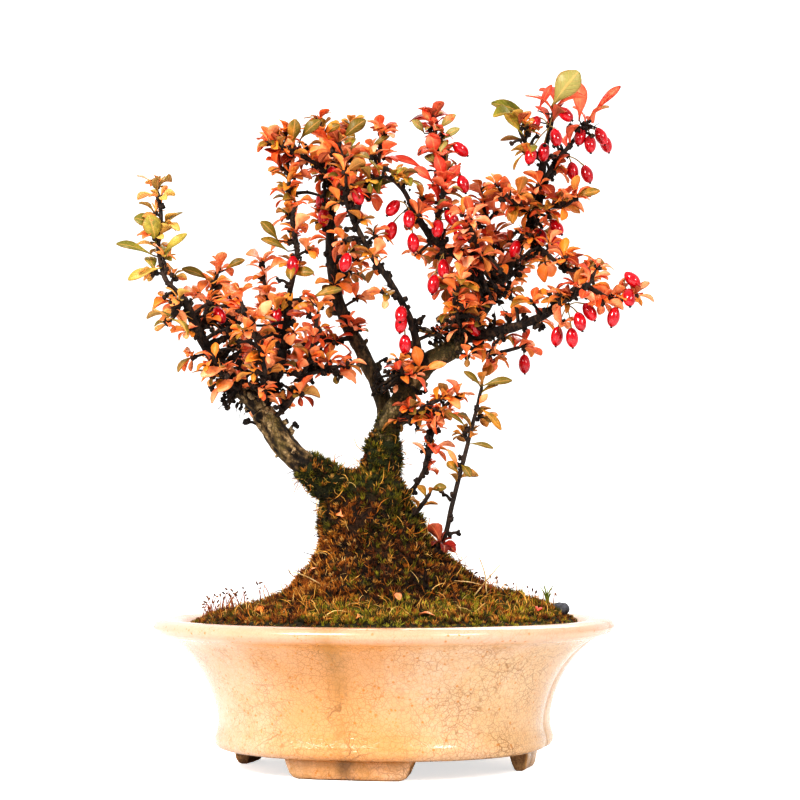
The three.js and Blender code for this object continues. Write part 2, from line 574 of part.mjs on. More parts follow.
function makeMoss(woodClearance, stemClearances, pebbleClearance) {
  const under = [[0, SOIL_TOP + GAP], [94.5, SOIL_EDGE_TOP + GAP + 0.1]];
  const outline = [...under, ...MOSS_PROFILE].map(([radius, height]) => new THREE.Vector2(radius, height));
  const geometry = new THREE.LatheGeometry(outline, MOSS_SEGMENTS);
  geometry.rotateX(Math.PI / 2);
  const corner = geometry.attributes.position;
  const rings = outline.length;
  for (let i = 0; i < corner.count; i++) {
    const ring = i % rings;
    const segment = Math.floor(i / rings) % MOSS_SEGMENTS;
    const [x, y, z] = [corner.getX(i), corner.getY(i), corner.getZ(i)];
    if (ring === under.length - 1 || ring === under.length) {
      const share = lobeShare(Math.atan2(y, x) - POT_TURN, MOSS_LOBE_OFFSET);
      corner.setXYZ(i, x * share, y * share, z);
    }
    if (ring <= under.length || ring === rings - 1) continue;
    const bump = MOSS_ROUGHNESS * (2 * draw(ring * 37 + segment) - 1);
    const radius = Math.hypot(x, y);
    const climb = THREE.MathUtils.smoothstep(z, MOUND_LEAN_FROM, MOUND_LEAN_TO);
    const awayX = (x - HILLOCK.x) / HILLOCK.width;
    const hillock = HILLOCK.height * Math.exp(-(awayX ** 2) - (y / HILLOCK.depth) ** 2);
    const out = 1 + bump / radius;
    corner.setXYZ(i, x * out - MOUND_LEAN * climb, y * out, z + bump / 2 + hillock);
  }
  const collars = [WOOD.leftLimb, WOOD.rightTrunk].map((limb, number) => tube({
    points: limb.points.slice(0, 4 - number),
    radii: limb.radii.slice(0, 4 - number).map((radius, place) => radius + COLLAR_THICKNESS[place + number]),
    seed: COLLAR_SEEDS[number],
    ...COLLAR_SHAPE,
  }));
  const size = 2 * COLLAR_CUT_TOP;
  const below = solidOf(new THREE.BoxGeometry(size, size, size).translate(0, 0, COLLAR_CUT_TOP - size / 2));
  const mound = [solidOf(geometry), ...collars.map((collar) => collar.subtract(below))];
  let moss = Manifold.union(mound).subtract(woodClearance).subtract(pebbleClearance);
  for (const { clearance } of stemClearances) {
    if (boxesMeet(moss, clearance)) moss = moss.subtract(clearance);
  }
  return oneBody(moss);
}

const PEBBLE_PLACE = [87, -6, 77.5];
const PEBBLE_RADII = [5, 4, 3.4];

function makePebble(extra = 0) {
  const pebble = new THREE.IcosahedronGeometry(1, 0);
  pebble.scale(...PEBBLE_RADII.map((radius) => radius + extra)).translate(...PEBBLE_PLACE);
  return solidOf(pebble);
}

// The whole part

const bonsai = new THREE.Group();
bonsai.name = 'japanese_barberry_bonsai';

const { wood, clearance: woodClearance } = makeWood();
const { solids: stemSolids, clearances: stemClearances } = makeStems(woodClearance);
const moss = makeMoss(woodClearance, stemClearances, makePebble(GAP));

const carriers = [...limbs, ...stems].flatMap(sampled);
const allClearances = [woodClearance, ...stemClearances.map((stem) => stem.clearance)];
const bunchSolids = {};
for (const [name, middles] of Object.entries(BUNCHES)) {
  const blockers = [wood, moss, ...Object.values(stemSolids), ...Object.values(bunchSolids)];
  bunchSolids[name] = makeBunch(middles, carriers, allClearances, blockers);
}

// A leaf is turned about its stem until it is clear of every other node, or else left out
const leavesOf = {};
Object.keys(SPRAYS).forEach((name, number) => {
  const others = Object.keys(SPRAYS).filter((other) => other !== name);
  const blockers = [
    wood,
    moss,
    ...Object.values(bunchSolids),
    ...others.map((other) => stemSolids[other]),
    ...others.flatMap((other) => leavesOf[other] ?? []),
  ];
  leavesOf[name] = [];
  for (const site of leafSites(name, number)) {
    const possible = TURNS.filter((turn) => isClear(leafSolid(site, turn, GAP), blockers));
    const uncrossed = possible.find((turn) => isClear(leafSolid(site, turn), leavesOf[name]));
    const turn = uncrossed ?? possible[0];
    if (turn !== undefined) leavesOf[name].push(leafSolid(site, turn));
  }
});

addNode(bonsai, 'pot', makePot(), FINISHES.glaze);
addNode(bonsai, 'drainage_screen', makeScreen(), FINISHES.screen);
addNode(bonsai, 'soil', makeSoil(woodClearance), FINISHES.soil);
addNode(bonsai, 'moss', moss, FINISHES.moss);
addNode(bonsai, 'trunk_and_limbs', wood, FINISHES.bark);
addNode(bonsai, 'pebble', makePebble(), FINISHES.pebble);
for (const [name, { tone }] of Object.entries(SPRAYS)) {
  const spray = Manifold.union([stemSolids[name], ...leavesOf[name]]);
  addNode(bonsai, `spray_${name}`, spray, FINISHES[tone]);
}
for (const [name, bunch] of Object.entries(bunchSolids)) {
  addNode(bonsai, `berries_${name}`, bunch, FINISHES.berry);
}

export default bonsai;
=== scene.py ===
"""The looks of a Japanese barberry bonsai with autumn leaves and berries in a four-lobed crackle-glazed pot.

Shapes are drawn in millimetres, as in the part's source, and become metres when a piece is finished.
"""

import math
import random
from types import SimpleNamespace

import bmesh
import bpy
from bpy.props import FloatProperty, FloatVectorProperty, IntProperty, PointerProperty
from bpy.types import Operator, Panel, PropertyGroup
from mathutils import Matrix, Vector, noise
from mathutils.bvhtree import BVHTree
from mathutils.kdtree import KDTree


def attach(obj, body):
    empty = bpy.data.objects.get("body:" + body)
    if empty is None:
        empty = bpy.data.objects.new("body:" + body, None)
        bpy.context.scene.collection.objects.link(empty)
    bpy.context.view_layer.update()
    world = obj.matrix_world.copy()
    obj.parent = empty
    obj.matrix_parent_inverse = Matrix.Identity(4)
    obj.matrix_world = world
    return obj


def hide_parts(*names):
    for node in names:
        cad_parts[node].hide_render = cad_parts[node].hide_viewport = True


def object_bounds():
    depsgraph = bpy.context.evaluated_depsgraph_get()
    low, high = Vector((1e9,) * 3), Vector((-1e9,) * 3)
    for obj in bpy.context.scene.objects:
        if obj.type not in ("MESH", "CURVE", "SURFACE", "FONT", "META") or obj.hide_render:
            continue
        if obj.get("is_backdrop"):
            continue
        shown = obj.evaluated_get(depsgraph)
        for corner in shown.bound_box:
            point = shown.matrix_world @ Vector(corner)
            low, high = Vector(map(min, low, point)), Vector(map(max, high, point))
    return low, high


bl_info = {
    "name": "Barberry bonsai",
    "version": (1, 0, 0),
    "blender": (4, 5, 0),
    "location": "3D View > Sidebar > Bonsai",
    "description": "Models a barberry bonsai in its glazed pot around the packed part",
    "category": "Object",
}

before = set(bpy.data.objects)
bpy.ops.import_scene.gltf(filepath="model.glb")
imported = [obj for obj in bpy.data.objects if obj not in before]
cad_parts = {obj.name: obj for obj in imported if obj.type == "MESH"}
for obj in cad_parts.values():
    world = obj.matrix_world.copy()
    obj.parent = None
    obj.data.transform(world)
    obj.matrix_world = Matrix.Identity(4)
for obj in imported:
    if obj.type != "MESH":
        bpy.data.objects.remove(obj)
CAD_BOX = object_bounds()

MM = 0.001
UP = Vector((0, 0, 1))
GOLDEN_ANGLE = 2.399963

# Pot, in millimetres
LOBES = 4
POT_TURN = math.radians(-104)
POT_SEGMENTS = 192
LOBE_OFFSET = 0.15
LOBE_OFFSET_LIP = 0.07
LOBE_FADE = (46, 70)
DRAIN_ROUND = (18, 62)
POT_OUTSIDE = [
    (13, 9.5), (40, 9.5), (75, 9.5), (81.4, 9.7), (84.4, 10.8), (85.7, 12.8), (85.8, 15.2), (84.9, 18),
    (84.3, 21.4), (84.4, 26), (85.3, 31), (87, 36.5), (89.6, 42.6), (93.4, 49.4), (98.2, 56),
    (103.6, 61.6), (107.6, 64.2), (111.4, 65.2), (114.2, 66.8), (115.5, 69.2), (114.4, 71.6),
    (111.4, 72.9), (106, 73),
]
POT_INSIDE = [(102, 72), (99.6, 68.6), (91, 55), (80, 36), (73, 19.6), (71, 19), (40, 19), (13, 19)]
FOOT_PROFILE = [
    (67.5, 12), (70, 3.2), (71, 0.6), (71.8, 0), (74.6, 0), (76, 0.7), (77.1, 2.6), (78, 7), (78.4, 12),
]
FOOT_HALF_WIDTHS = [(0, 25), (0.8, 26.9), (2.5, 28.5), (5, 29.5), (8, 30.6), (12, 32)]
FOOT_HALF = 31
FOOT_WIDTH_SHARES = [1, 0.42, 1, 0.42]
FOOT_STEPS = 28
FOOT_BEVEL = 0.9
FOOT_BEND_ROUNDS = 4
FOOT_TOUCH = 0.01
POT_MERGE = 1e-4
# Bare clay lies inside the ring of feet, on their soles and below the glazed rim of the inside
FOOT_RING = 72
FOOT_SOLE = 1.2
GLAZED_RIM = 66
GROOVE_ANGLE = 0.5

# Moss, in millimetres
MOSS_OUTLINE = [
    (97.5, 69.6), (95.5, 71.6), (88, 73.6), (70, 77), (53, 82.5), (40.5, 93.5), (30.5, 105.5), (26, 116.5),
    (22.5, 127.5), (18, 138), (9, 144), (0.5, 146),
]
MOSS_UNDER = (94, 66)
MOSS_SEGMENTS = 128
MOSS_LOBE_OFFSET = 0.11
MOUND_LEAN = 9
MOUND_LEAN_HEIGHTS = (92, 132)
HILLOCK = {"height": 6, "x": 66, "width": 20, "depth": 26}
COLLAR_THICKNESS = [3.0, 2.5, 2.0, 1.3]
BED_STEPS = 56
BED_MERGE = 0.02
CARPET_EDGE = (86, 96)
CARPET_LOWEST = 69
OVERHANG_LOWEST = 112
MOUND_FROM = 86
EDGE_RADIUS = 88
EDGE_HEIGHT = 0.6
SHOOT_LEAN = 0.5
THREAD_RADIUS = 84
THREAD_LEAN = 1.1
THREAD_LENGTHS = (3.5, 9)
SHOOT_SEED, THREAD_SEED, CREEPING_SEED = 11, 23, 31
FULL_TURN = 6.3
# Leaflets, width and spread of each kind of shoot; and how far each kind of thread bends
SHOOT_SHAPES = [(9, 0.1, 0.9), (8, 0.085, 0.6), (9, 0.12, 1.3)]
THREAD_BENDS = [0.5, 0.9, -0.3]
# Moss that creeps up a limb: from and to which share of its length, and how many shoots
CREEPING = {"leftLimb": (0.4, 0.56, 130), "rightTrunk": (0.42, 0.72, 330)}

# Centre lines of the wood, with the radius from its start to its end
WOOD = {
    "trunk": ([27, 21, 18.5, 17.5, 16, 13],
              [(-4, 0, 36), (-4, 0, 72), (-5, 0, 92), (-8, 0, 109), (-10, 0, 124), (-11, 1, 137)]),
    "leftLimb": ([10, 8, 6.8, 6.2, 6, 6.3, 5.6],
                 [(-11, 0, 129), (-21, -4, 135), (-31, -8, 142), (-40, -12, 149), (-48, -14, 157),
                  (-55, -14, 166), (-61, -12, 176)]),
    "rightTrunk": ([10, 7.4, 6.9, 6.6, 6.2, 5.7],
                   [(-6, 2, 129), (-2, 4, 147), (-1, 4, 161), (3, 2, 172), (9, 0, 182), (13, -2, 190)]),
    "thickLimb": ([5.7, 5.3, 4.9, 4.4],
                  [(13, -2, 190), (22, -5, 200), (32, -4, 206), (39, 0, 213)]),
    "leftFork": ([4.6, 4, 3.5, 2.8, 2.3, 1.8],
                 [(1, 3, 168), (-1, 8, 182), (-11, 15, 205), (-22, 20, 227), (-28, 16, 258), (-26, 8, 288)]),
    "leftArm": ([5, 3.9, 3, 2.5, 2],
                [(-61, -12, 176), (-71, -16, 186), (-80, -22, 195), (-90, -32, 212), (-98, -36, 230)]),
    "leftRiser": ([3, 2.4, 2, 1.7],
                  [(-61, -12, 176), (-56, -8, 187), (-51, -6, 204), (-47, -16, 234)]),
    "longRod": ([2.1, 1.8, 1.6, 1.5, 1.4],
                [(18, -6, 199), (13, -18, 219), (4, -26, 236), (-7, -30, 252), (-15, -32, 267)]),
    "rightArm": ([3.3, 2.6, 2.3, 2.1, 1.8],
                 [(39, 0, 213), (52, -12, 214), (77, -32, 221), (91, -42, 232), (96, -44, 236)]),
    "rightLeader": ([4.3, 3.5, 3, 2.7, 2.4, 2.1, 1.7],
                    [(39, 0, 213), (48, 12, 226), (61, 22, 248), (70, 24, 264), (78, 20, 283), (80, 14, 301),
                     (82, 12, 312)]),
    "heartArm": ([2.8, 2.4, 2.1, 1.9, 1.6],
                 [(53, 18, 235), (39, -4, 251), (22, -14, 263), (16, -18, 272), (12, -20, 279)]),
}

# Leafy stems: how many leaves the solid has, how long they are, their colour, and where each stem runs
SPRAYS = {
    "far_left": (9, 15, "gold", [
        [(-98, -36, 230), (-106, -38, 238), (-110, -36, 255), (-109, -34, 269), (-111, -32, 283)],
        [(-98, -36, 230), (-101, -42, 221), (-104, -46, 217)]]),
    "left_inner": (8, 12, "orange", [[(-90, -32, 212), (-88, -20, 224), (-86, -12, 236), (-83, -6, 245)]]),
    "left_back": (9, 12.5, "coral", [
        [(-68, -12, 182), (-71, 12, 195), (-75, 26, 208), (-78, 36, 225), (-81, 40, 239)]]),
    "left_low": (8, 12, "orange", [[(-69, -14, 184), (-75, -30, 188), (-80, -42, 194), (-83, -48, 202)]]),
    "left_mid": (9, 12, "coral", [
        [(-55, -8, 190), (-54, 12, 207), (-57, 20, 224), (-61, 24, 238), (-63, 26, 251)]]),
    "left_front": (9, 12, "orange", [
        [(-63, -14, 179), (-58, -36, 192), (-61, -48, 206), (-66, -54, 218), (-69, -54, 228)]]),
    "left_gap": (8, 11.5, "orange", [
        [(-58, -14, 169), (-47, -20, 179), (-41, -24, 190), (-36, -28, 204), (-32, -32, 225)],
        [(-40, -24, 192), (-29, -20, 196), (-20, -14, 198)]]),
    "left_tall": (9, 12, "orange", [
        [(-47, -16, 234), (-43, -26, 253), (-45, -28, 266), (-47, -26, 287), (-49, -20, 311)]]),
    "fork_side": (6, 12, "coral", [[(-15, 18, 214), (-27, 8, 212), (-39, 4, 211)]]),
    "fork_inner": (6, 12, "orange", [[(-27, 20, 241), (-21, 32, 249), (-18, 40, 259)]]),
    "crown_mid": (7, 13, "orange", [[(-26, 8, 288), (-26, 4, 300), (-30, 0, 311), (-33, 0, 321)]]),
    "crown_left": (8, 13, "orange", [[(-26, 8, 289), (-32, -8, 297), (-40, -18, 301), (-56, -28, 306)]]),
    "crown_back": (7, 13, "olive", [[(-26, 8, 287), (-23, 28, 303), (-19, 40, 316), (-18, 44, 325)]]),
    "crown_front": (7, 12.5, "orange", [
        [(-15, -32, 267), (-19, -38, 278), (-19, -42, 291), (-22, -42, 303)]]),
    "crown_right": (8, 12.5, "coral", [[(-15, -32, 266), (-11, -24, 281), (-4, -16, 295), (-2, -8, 314)]]),
    "heart_green": (7, 13, "olive", [[(13, -20, 277), (8, -26, 285), (1, -32, 289), (-6, -36, 287)]]),
    "heart_top": (9, 13, "red", [
        [(23, -14, 263), (27, -10, 274), (29, -4, 287), (28, 2, 302), (24, 6, 323)]]),
    "heart_back": (8, 12.5, "coral", [[(55, 19, 238), (55, 26, 256), (54, 32, 269), (50, 38, 291)]]),
    "heart_right": (7, 12, "orange", [[(75, 22, 276), (68, 6, 280), (61, -6, 283), (56, -12, 287)]]),
    "heart_low": (6, 12, "coral", [[(45, 3, 247), (46, -16, 255), (43, -26, 263), (39, -30, 270)]]),
    "top": (6, 18, "red", [[(82, 12, 312), (84, 10, 321), (86, 8, 332)]]),
    "top_left": (6, 15, "olive", [[(81, 14, 303), (74, 4, 307), (69, -4, 313), (65, -8, 322)]]),
    "top_right": (6, 15, "red", [[(81, 15, 294), (86, 22, 303), (94, 28, 313), (106, 34, 329)]]),
    "right_high": (7, 13, "orange", [[(77, 21, 281), (84, 10, 280), (90, 0, 279), (95, -6, 282)]]),
    "right_mid": (8, 13, "orange", [
        [(70, 24, 263), (79, 14, 259), (86, 2, 251), (93, -6, 246), (100, -12, 246)]]),
    "right_front": (7, 12.5, "coral", [[(86, -38, 227), (91, -52, 229), (96, -58, 232), (101, -60, 241)]]),
    "right_tip": (7, 12, "orange", [[(96, -44, 236), (103, -46, 231), (110, -46, 228), (119, -50, 229)]]),
    "right_back": (8, 12.5, "orange", [[(58, 20, 241), (68, 40, 251), (78, 54, 263), (81, 60, 271)]]),
    "right_low": (6, 12, "coral", [[(39, 0, 210), (46, 12, 207), (54, 20, 206), (70, 26, 210)]]),
    "center_back": (8, 12.5, "orange", [[(43, 6, 218), (38, 26, 236), (32, 38, 247), (23, 50, 265)]]),
    "center_front": (6, 12, "orange", [[(39, 0, 212), (36, -20, 221), (34, -30, 229), (37, -36, 236)]]),
    "collar": (5, 11.5, "coral", [[(13, -2, 189), (9, -16, 194), (7, -22, 199)]]),
    "trunk_side": (6, 11.5, "orange", [[(3, 2, 172), (13, -10, 173), (21, -18, 178), (28, -20, 181)]]),
    "sucker_inner": (8, 11.5, "coral", [
        [(6, 4, 132), (14, -2, 137), (20, -8, 148), (22, -10, 159), (29, -14, 177), (35, -16, 182)]]),
    "sucker_outer": (9, 11.5, "orange", [
        [(17, -12, 99), (28, -18, 110), (33, -22, 129), (36, -22, 141), (41, -20, 160), (48, -24, 188)]]),
    "sucker_short": (5, 10.5, "orange", [[(8, -4, 122), (15, -14, 125), (19, -18, 130), (23, -20, 136)]]),
}
STEM_RADII = [1.35, 1.15, 0.85]
TRUNK_RADIUS = 9
TWIG_TO_LIMB = (2.6, 5.5)
BARK_SPACING = 1.1
CORE_STEPS = 60
CARRIER_STEPS = 24
LIMB_SPUR_SPACING = 3.6

# How densely a stem or limb is leafed (above 1, by more rosettes), and the lowest and highest of its shades
USUAL_HABIT = (1, 0, 1)
LIMB_HABIT = (0.85, 0, 1)
FOOT_HABIT = (1, 0.82, 1)
HABITS = {
    "far_left": (1, 0.04, 0.78), "left_inner": (0.95, 0.08, 0.74), "left_back": (1, 0.14, 0.7),
    "left_low": (0.8, 0, 0.9), "left_mid": (1, 0.12, 0.72), "left_front": (1, 0.1, 0.76),
    "left_gap": (0.8, 0, 1), "left_tall": (1.25, 0, 1), "fork_side": (1.2, 0, 1),
    "fork_inner": (1.3, 0, 1), "crown_front": (1.3, 0, 1), "crown_right": (1.25, 0, 1),
    "heart_green": (0.8, 0, 1), "heart_top": (1.4, 0, 1), "heart_back": (1.4, 0, 1),
    "heart_right": (1.25, 0, 1), "heart_low": (1.25, 0, 1), "top": (0.3, 0.15, 1),
    "top_left": (0.5, 0, 1), "top_right": (0.3, 0, 1), "right_tip": (0.8, 0.2, 1),
    "right_front": (0.8, 0, 1), "right_low": (0.7, 0, 1), "trunk_side": (0.8, 0, 1),
    "sucker_short": (0, 0, 0.2), "sucker_inner": (0.85, 0, 0.85), "sucker_outer": (0.12, 0, 0.22),
    "leftArm": (0.85, 0.08, 0.74), "leftRiser": (0.85, 0.06, 0.78),
}

# Single large leaves: root, tip, breadth beside a usual leaf's, and shade
LARGE_LEAVES = {
    "top": [
        ((84, 10, 330), (97, 2, 347), 1.1, 0.0), ((100, 12, 327), (99, 4, 346), 0.8, 0.5),
        ((106, 14, 330), (121, 10, 345), 0.36, 0.72), ((77, 4, 328), (84, 0, 341), 0.5, 0.35)],
    "top_left": [
        ((74, 4, 324), (54, -2, 332), 0.62, 0.15), ((69, -2, 314), (60, -6, 324), 0.8, 0.42)],
    "right_high": [
        ((92, -2, 281), (107, -6, 286), 0.5, 0.12)],
    "heart_top": [
        ((20, 0, 316), (14, -6, 322), 0.9, 0.05), ((24, 4, 320), (19, 2, 328), 0.9, 0.2),
        ((27, 2, 318), (35, -4, 325), 0.7, 0.1), ((28, 0, 312), (37, -6, 318), 0.6, 0.05),
        ((20, -6, 297), (4, -12, 303), 0.5, 0.35), ((25, -4, 304), (23, -10, 315), 1.35, 0.46),
        ((29, -6, 290), (26, -12, 303), 0.9, 0.27), ((30, -6, 289), (37, -12, 298), 0.8, 0.3),
        ((24, -6, 290), (15, -12, 297), 0.9, 0.4)],
    "crown_mid": [
        ((-29, 0, 310), (-24, -6, 321), 1.0, 0.3), ((-22, 0, 312), (-10, -4, 322), 0.8, 0.0),
        ((-8, -4, 305), (2, -8, 312), 0.4, 0.05)],
    "crown_left": [
        ((-46, -22, 306), (-44, -28, 318), 1.0, 0.12), ((-52, -24, 304), (-60, -30, 314), 0.6, 0.72),
        ((-42, -20, 309), (-32, -26, 318), 0.8, 0.02), ((-32, -22, 314), (-23, -28, 319), 0.7, 0.08)],
    "far_left": [
        ((-111, -38, 256), (-114, -44, 269), 1.3, 0.16),
        ((-110, -34, 264), (-121, -40, 268), 1.1, 0.12),
        ((-112, -36, 250), (-130, -38, 256), 0.5, 0.05), ((-108, -36, 250), (-96, -42, 260), 0.45, 0.2),
        ((-108, -38, 244), (-124, -42, 238), 0.6, 0.3)],
    "left_inner": [
        ((-86, -16, 240), (-100, -22, 246), 0.6, 0.0), ((-80, -10, 246), (-70, -14, 251), 0.6, 0.15)],
    "left_front": [
        ((-52, -44, 223), (-46, -48, 234), 0.7, 0.22), ((-62, -50, 216), (-54, -56, 226), 0.7, 0.56)],
    "left_gap": [
        ((-37, -34, 229), (-21, -38, 234), 0.45, 0.06), ((-48, -34, 224), (-35, -40, 228), 0.5, 0.24)],
    "left_tall": [
        ((-52, -20, 258), (-60, -26, 267), 0.85, 0.0), ((-47, -28, 253), (-60, -33, 259), 0.6, 0.06),
        ((-47, -28, 242), (-35, -34, 243), 0.75, 0.08)],
    "left_low": [
        ((-76, -42, 195), (-88, -48, 191), 0.8, 0.58), ((-72, -34, 190), (-80, -44, 184), 0.8, 0.5)],
    "collar": [
        ((17, -9, 195), (7, -16, 198), 1.05, 0.25), ((17, -9, 196), (15, -16, 207), 1.0, 0.24),
        ((18, -10, 195), (30, -16, 199), 0.56, 0.26)],
    "sucker_short": [
        ((22, -20, 136), (30, -24, 138), 0.9, 0.0)],
    "sucker_outer": [
        ((47, -24, 187), (62, -28, 190), 0.46, 0.02), ((47, -24, 187), (39, -30, 194), 0.6, 0.05),
        ((46, -23, 177), (57, -28, 166), 0.4, 0.12), ((46, -23, 178), (50, -28, 183), 0.8, 0.5),
        ((41, -21, 159), (53, -26, 157), 0.34, 0.0), ((37, -22, 149), (42, -28, 143), 0.85, 0.02),
        ((40, -21, 167), (31, -26, 174), 0.4, 0.04), ((36, -23, 147), (31, -28, 156), 0.55, 0.5)],
}

# Where rosettes grow straight on the limbs, as shares of their length, and where dark spurs crowd them
LIMB_LEAVES = {
    "leftArm": (0.4, 1), "leftRiser": (0.2, 1), "leftFork": (0.3, 1), "longRod": (0.5, 1),
    "rightLeader": (0.1, 0.95), "heartArm": (0.02, 1), "rightArm": (0.1, 1), "thickLimb": (0.5, 1),
}
SPUR_CROWDS = {
    "leftLimb": (0.62, 1), "rightTrunk": (0.6, 1), "thickLimb": (0.1, 1), "leftFork": (0.12, 1),
    "leftArm": (0, 1), "leftRiser": (0, 1), "longRod": (0.1, 1), "rightArm": (0, 1),
    "rightLeader": (0, 1), "heartArm": (0, 1),
}

# Tangles of dead spurs: the middle of each, how far it spreads on each axis, and how many spurs it has
THICKETS = [
    ((-70, -24, 209), (14, 14, 7), 26), ((-75, -10, 222), (7, 14, 8), 12),
    ((-62, -18, 191), (13, 12, 8), 30), ((-69, -14, 182), (12, 10, 6), 34),
    ((-32, -18, 197), (9, 6, 3), 12), ((0, -6, 190), (6, 8, 6), 16), ((50, -6, 232), (13, 18, 13), 36),
    ((30, -8, 216), (10, 12, 6), 18), ((72, 16, 262), (8, 10, 10), 18), ((100, 24, 320), (7, 5, 4), 10),
    ((-24, -6, 284), (7, 16, 8), 18), ((20, -12, 172), (10, 8, 6), 14), ((21, -9, 158), (3, 3, 9), 9),
]
THICKET_SEED = 5000
SPUR_RADII = [1.1, 0.85, 0.6]
SPUR_TWIG_LENGTHS = (3, 7)
SPUR_LONGEST = 17
LEAF_STALK_RADII = [0.5, 0.36, 0.3]
DEPTH_WEIGHT = 0.3
# The place of the twig's material on a leafy piece, after the leaf's two sides
TWIG = 2
SPUR_SHORTEST = 1.5
ROSETTE_SPUR_RADII = [0.9, 0.7, 0.8]
ROSETTE_LOWEST, ROSETTE_HIGHEST = 0.12, 0.97
ROSETTE_REACH = (1.6, 6.5)
LIMB_ROSETTE_REACH = (1.5, 9)
LIMB_SEED = 90000
FOOT_SEED = 77
STEM_SPUR_SHARES = (0.05, 0.95)
STEM_SPUR_SPACING, BARE_STEM_SPUR_SPACING = 5, 9
BARE_STEM = 0.2
STEM_KNOB = 0.85
# The leaves of the solids: how many make one of their rosettes, and where on the stem the first grows
ROSETTE_LEAVES = 3
ROSETTE_FIRST = 0.3
ROSETTE_PITCH = 2.2
LEAF_SUNK = 0.5

# Bunches of berries: the middle of each berry
BUNCHES = {
    "top": [(75, 2, 321), (91, 4, 326), (86, 2, 314), (80, 5, 307), (73, -3, 304)],
    "top_right": [(100, 26, 318), (105, 24, 314), (111, 30, 319), (114, 36, 316)],
    "top_hang": [(96, 24, 300), (103, 20, 298)],
    "heart_top": [(38, 2, 308), (39, -8, 289)],
    "leader": [(79, 14, 265), (87, 14, 270), (86, 21, 263), (66, 17, 259)],
    "heart": [(33, -16, 271), (37, -20, 263), (26, -22, 265)],
    "crown": [(-26, -9, 294), (-24, 2, 287), (-32, 6, 283), (-31, 6, 274)],
    "heart_green": [(4, -24, 275), (3, -20, 264), (12, -28, 269), (14, -22, 258)],
    "heart_low": [(29, -14, 246), (24, -16, 238)],
    "rod": [(8, -24, 218), (8, -31, 222), (10, -20, 208)],
    "limb": [(44, -12, 217)],
    "left": [(-54, -14, 222)],
    "far_left": [(-81, -26, 222)],
    "right_tip": [(119, -51, 237), (117, -55, 228), (110, -50, 219)],
    "right_arm": [(99, -44, 222), (94, -48, 217), (84, -32, 211), (91, -37, 210)],
    "right_low": [(71, 24, 201)],
    "back_left": [(-72, 36, 207)],
    "back_heart": [(40, 38, 232), (34, 42, 235)],
}
SINGLE_BERRIES = {"crown_front": [(-13, -40, 279)], "riser": [(-45, -28, 246)], "fork": [(-19, -34, 247)]}

# Litter on the moss: places across and up, as seen from the front, and places across and in depth
PEBBLE = {"place": (87, -6, 77.5), "size": (5, 4, 3.4)}
SPORE_PATCHES = [(-84, -14, 9, 16), (-68, 8, 10, 9), (-84, 22, 8, 6), (52, -14, 6, 7), (70, 30, 12, 8),
                 (-10, 74, 16, 12)]
SPORE_HEIGHTS = (5, 11)
FALLEN_ON_FRONT = [
    (-20, 124, "coral", 8), (6, 84, "orange", 7), (20, 76, "coral", 8), (-34, 96, "orange", 6),
]
FALLEN_FROM_ABOVE = [
    (-60, -44, "orange", 8), (52, 46, "coral", 8), (-44, 52, "orange", 7), (12, 70, "red", 8),
    (74, -28, "red", 7), (-12, -78, "gold", 7),
]
STRAWS = [((43, 84), (57, 101)), ((50, 85), (46, 104)), ((-30, 90), (-46, 97)), ((34, 92), (48, 90))]
GRASS_FOOT = (80, -10)
GRASS_BLADES = 9
FOOT_ROSETTE = {"start": (26, -18, 108), "way": (0.4, -0.8, 0.45), "reach": 4}

SPORE_SEED = 5
IN_FRONT, ABOVE = -200, 300

# The ground that the litter lies on, kept by the moss when it is made
ground = {}


# Numbers and lines
def draw(number):
    """A number between 0 and 1, always the same for the same number."""
    wave = math.sin(number * 12.9898 + 4.137) * 43758.5453
    return wave - math.floor(wave)


def mix(low, high, share):
    return low + (high - low) * share


def smoothstep(value, low, high):
    share = min(1, max(0, (value - low) / (high - low)))
    return share * share * (3 - 2 * share)


def table_value(table, place):
    """The value at a place in a list of (place, value), straight between its entries."""
    for (low, first), (high, last) in zip(table, table[1:]):
        if place <= high:
            return mix(first, last, max(0, (place - low) / (high - low)))
    return table[-1][1]


def radius_at(radii, share):
    place = share * (len(radii) - 1)
    before = min(int(place), len(radii) - 2)
    return mix(radii[before], radii[before + 1], place - before)


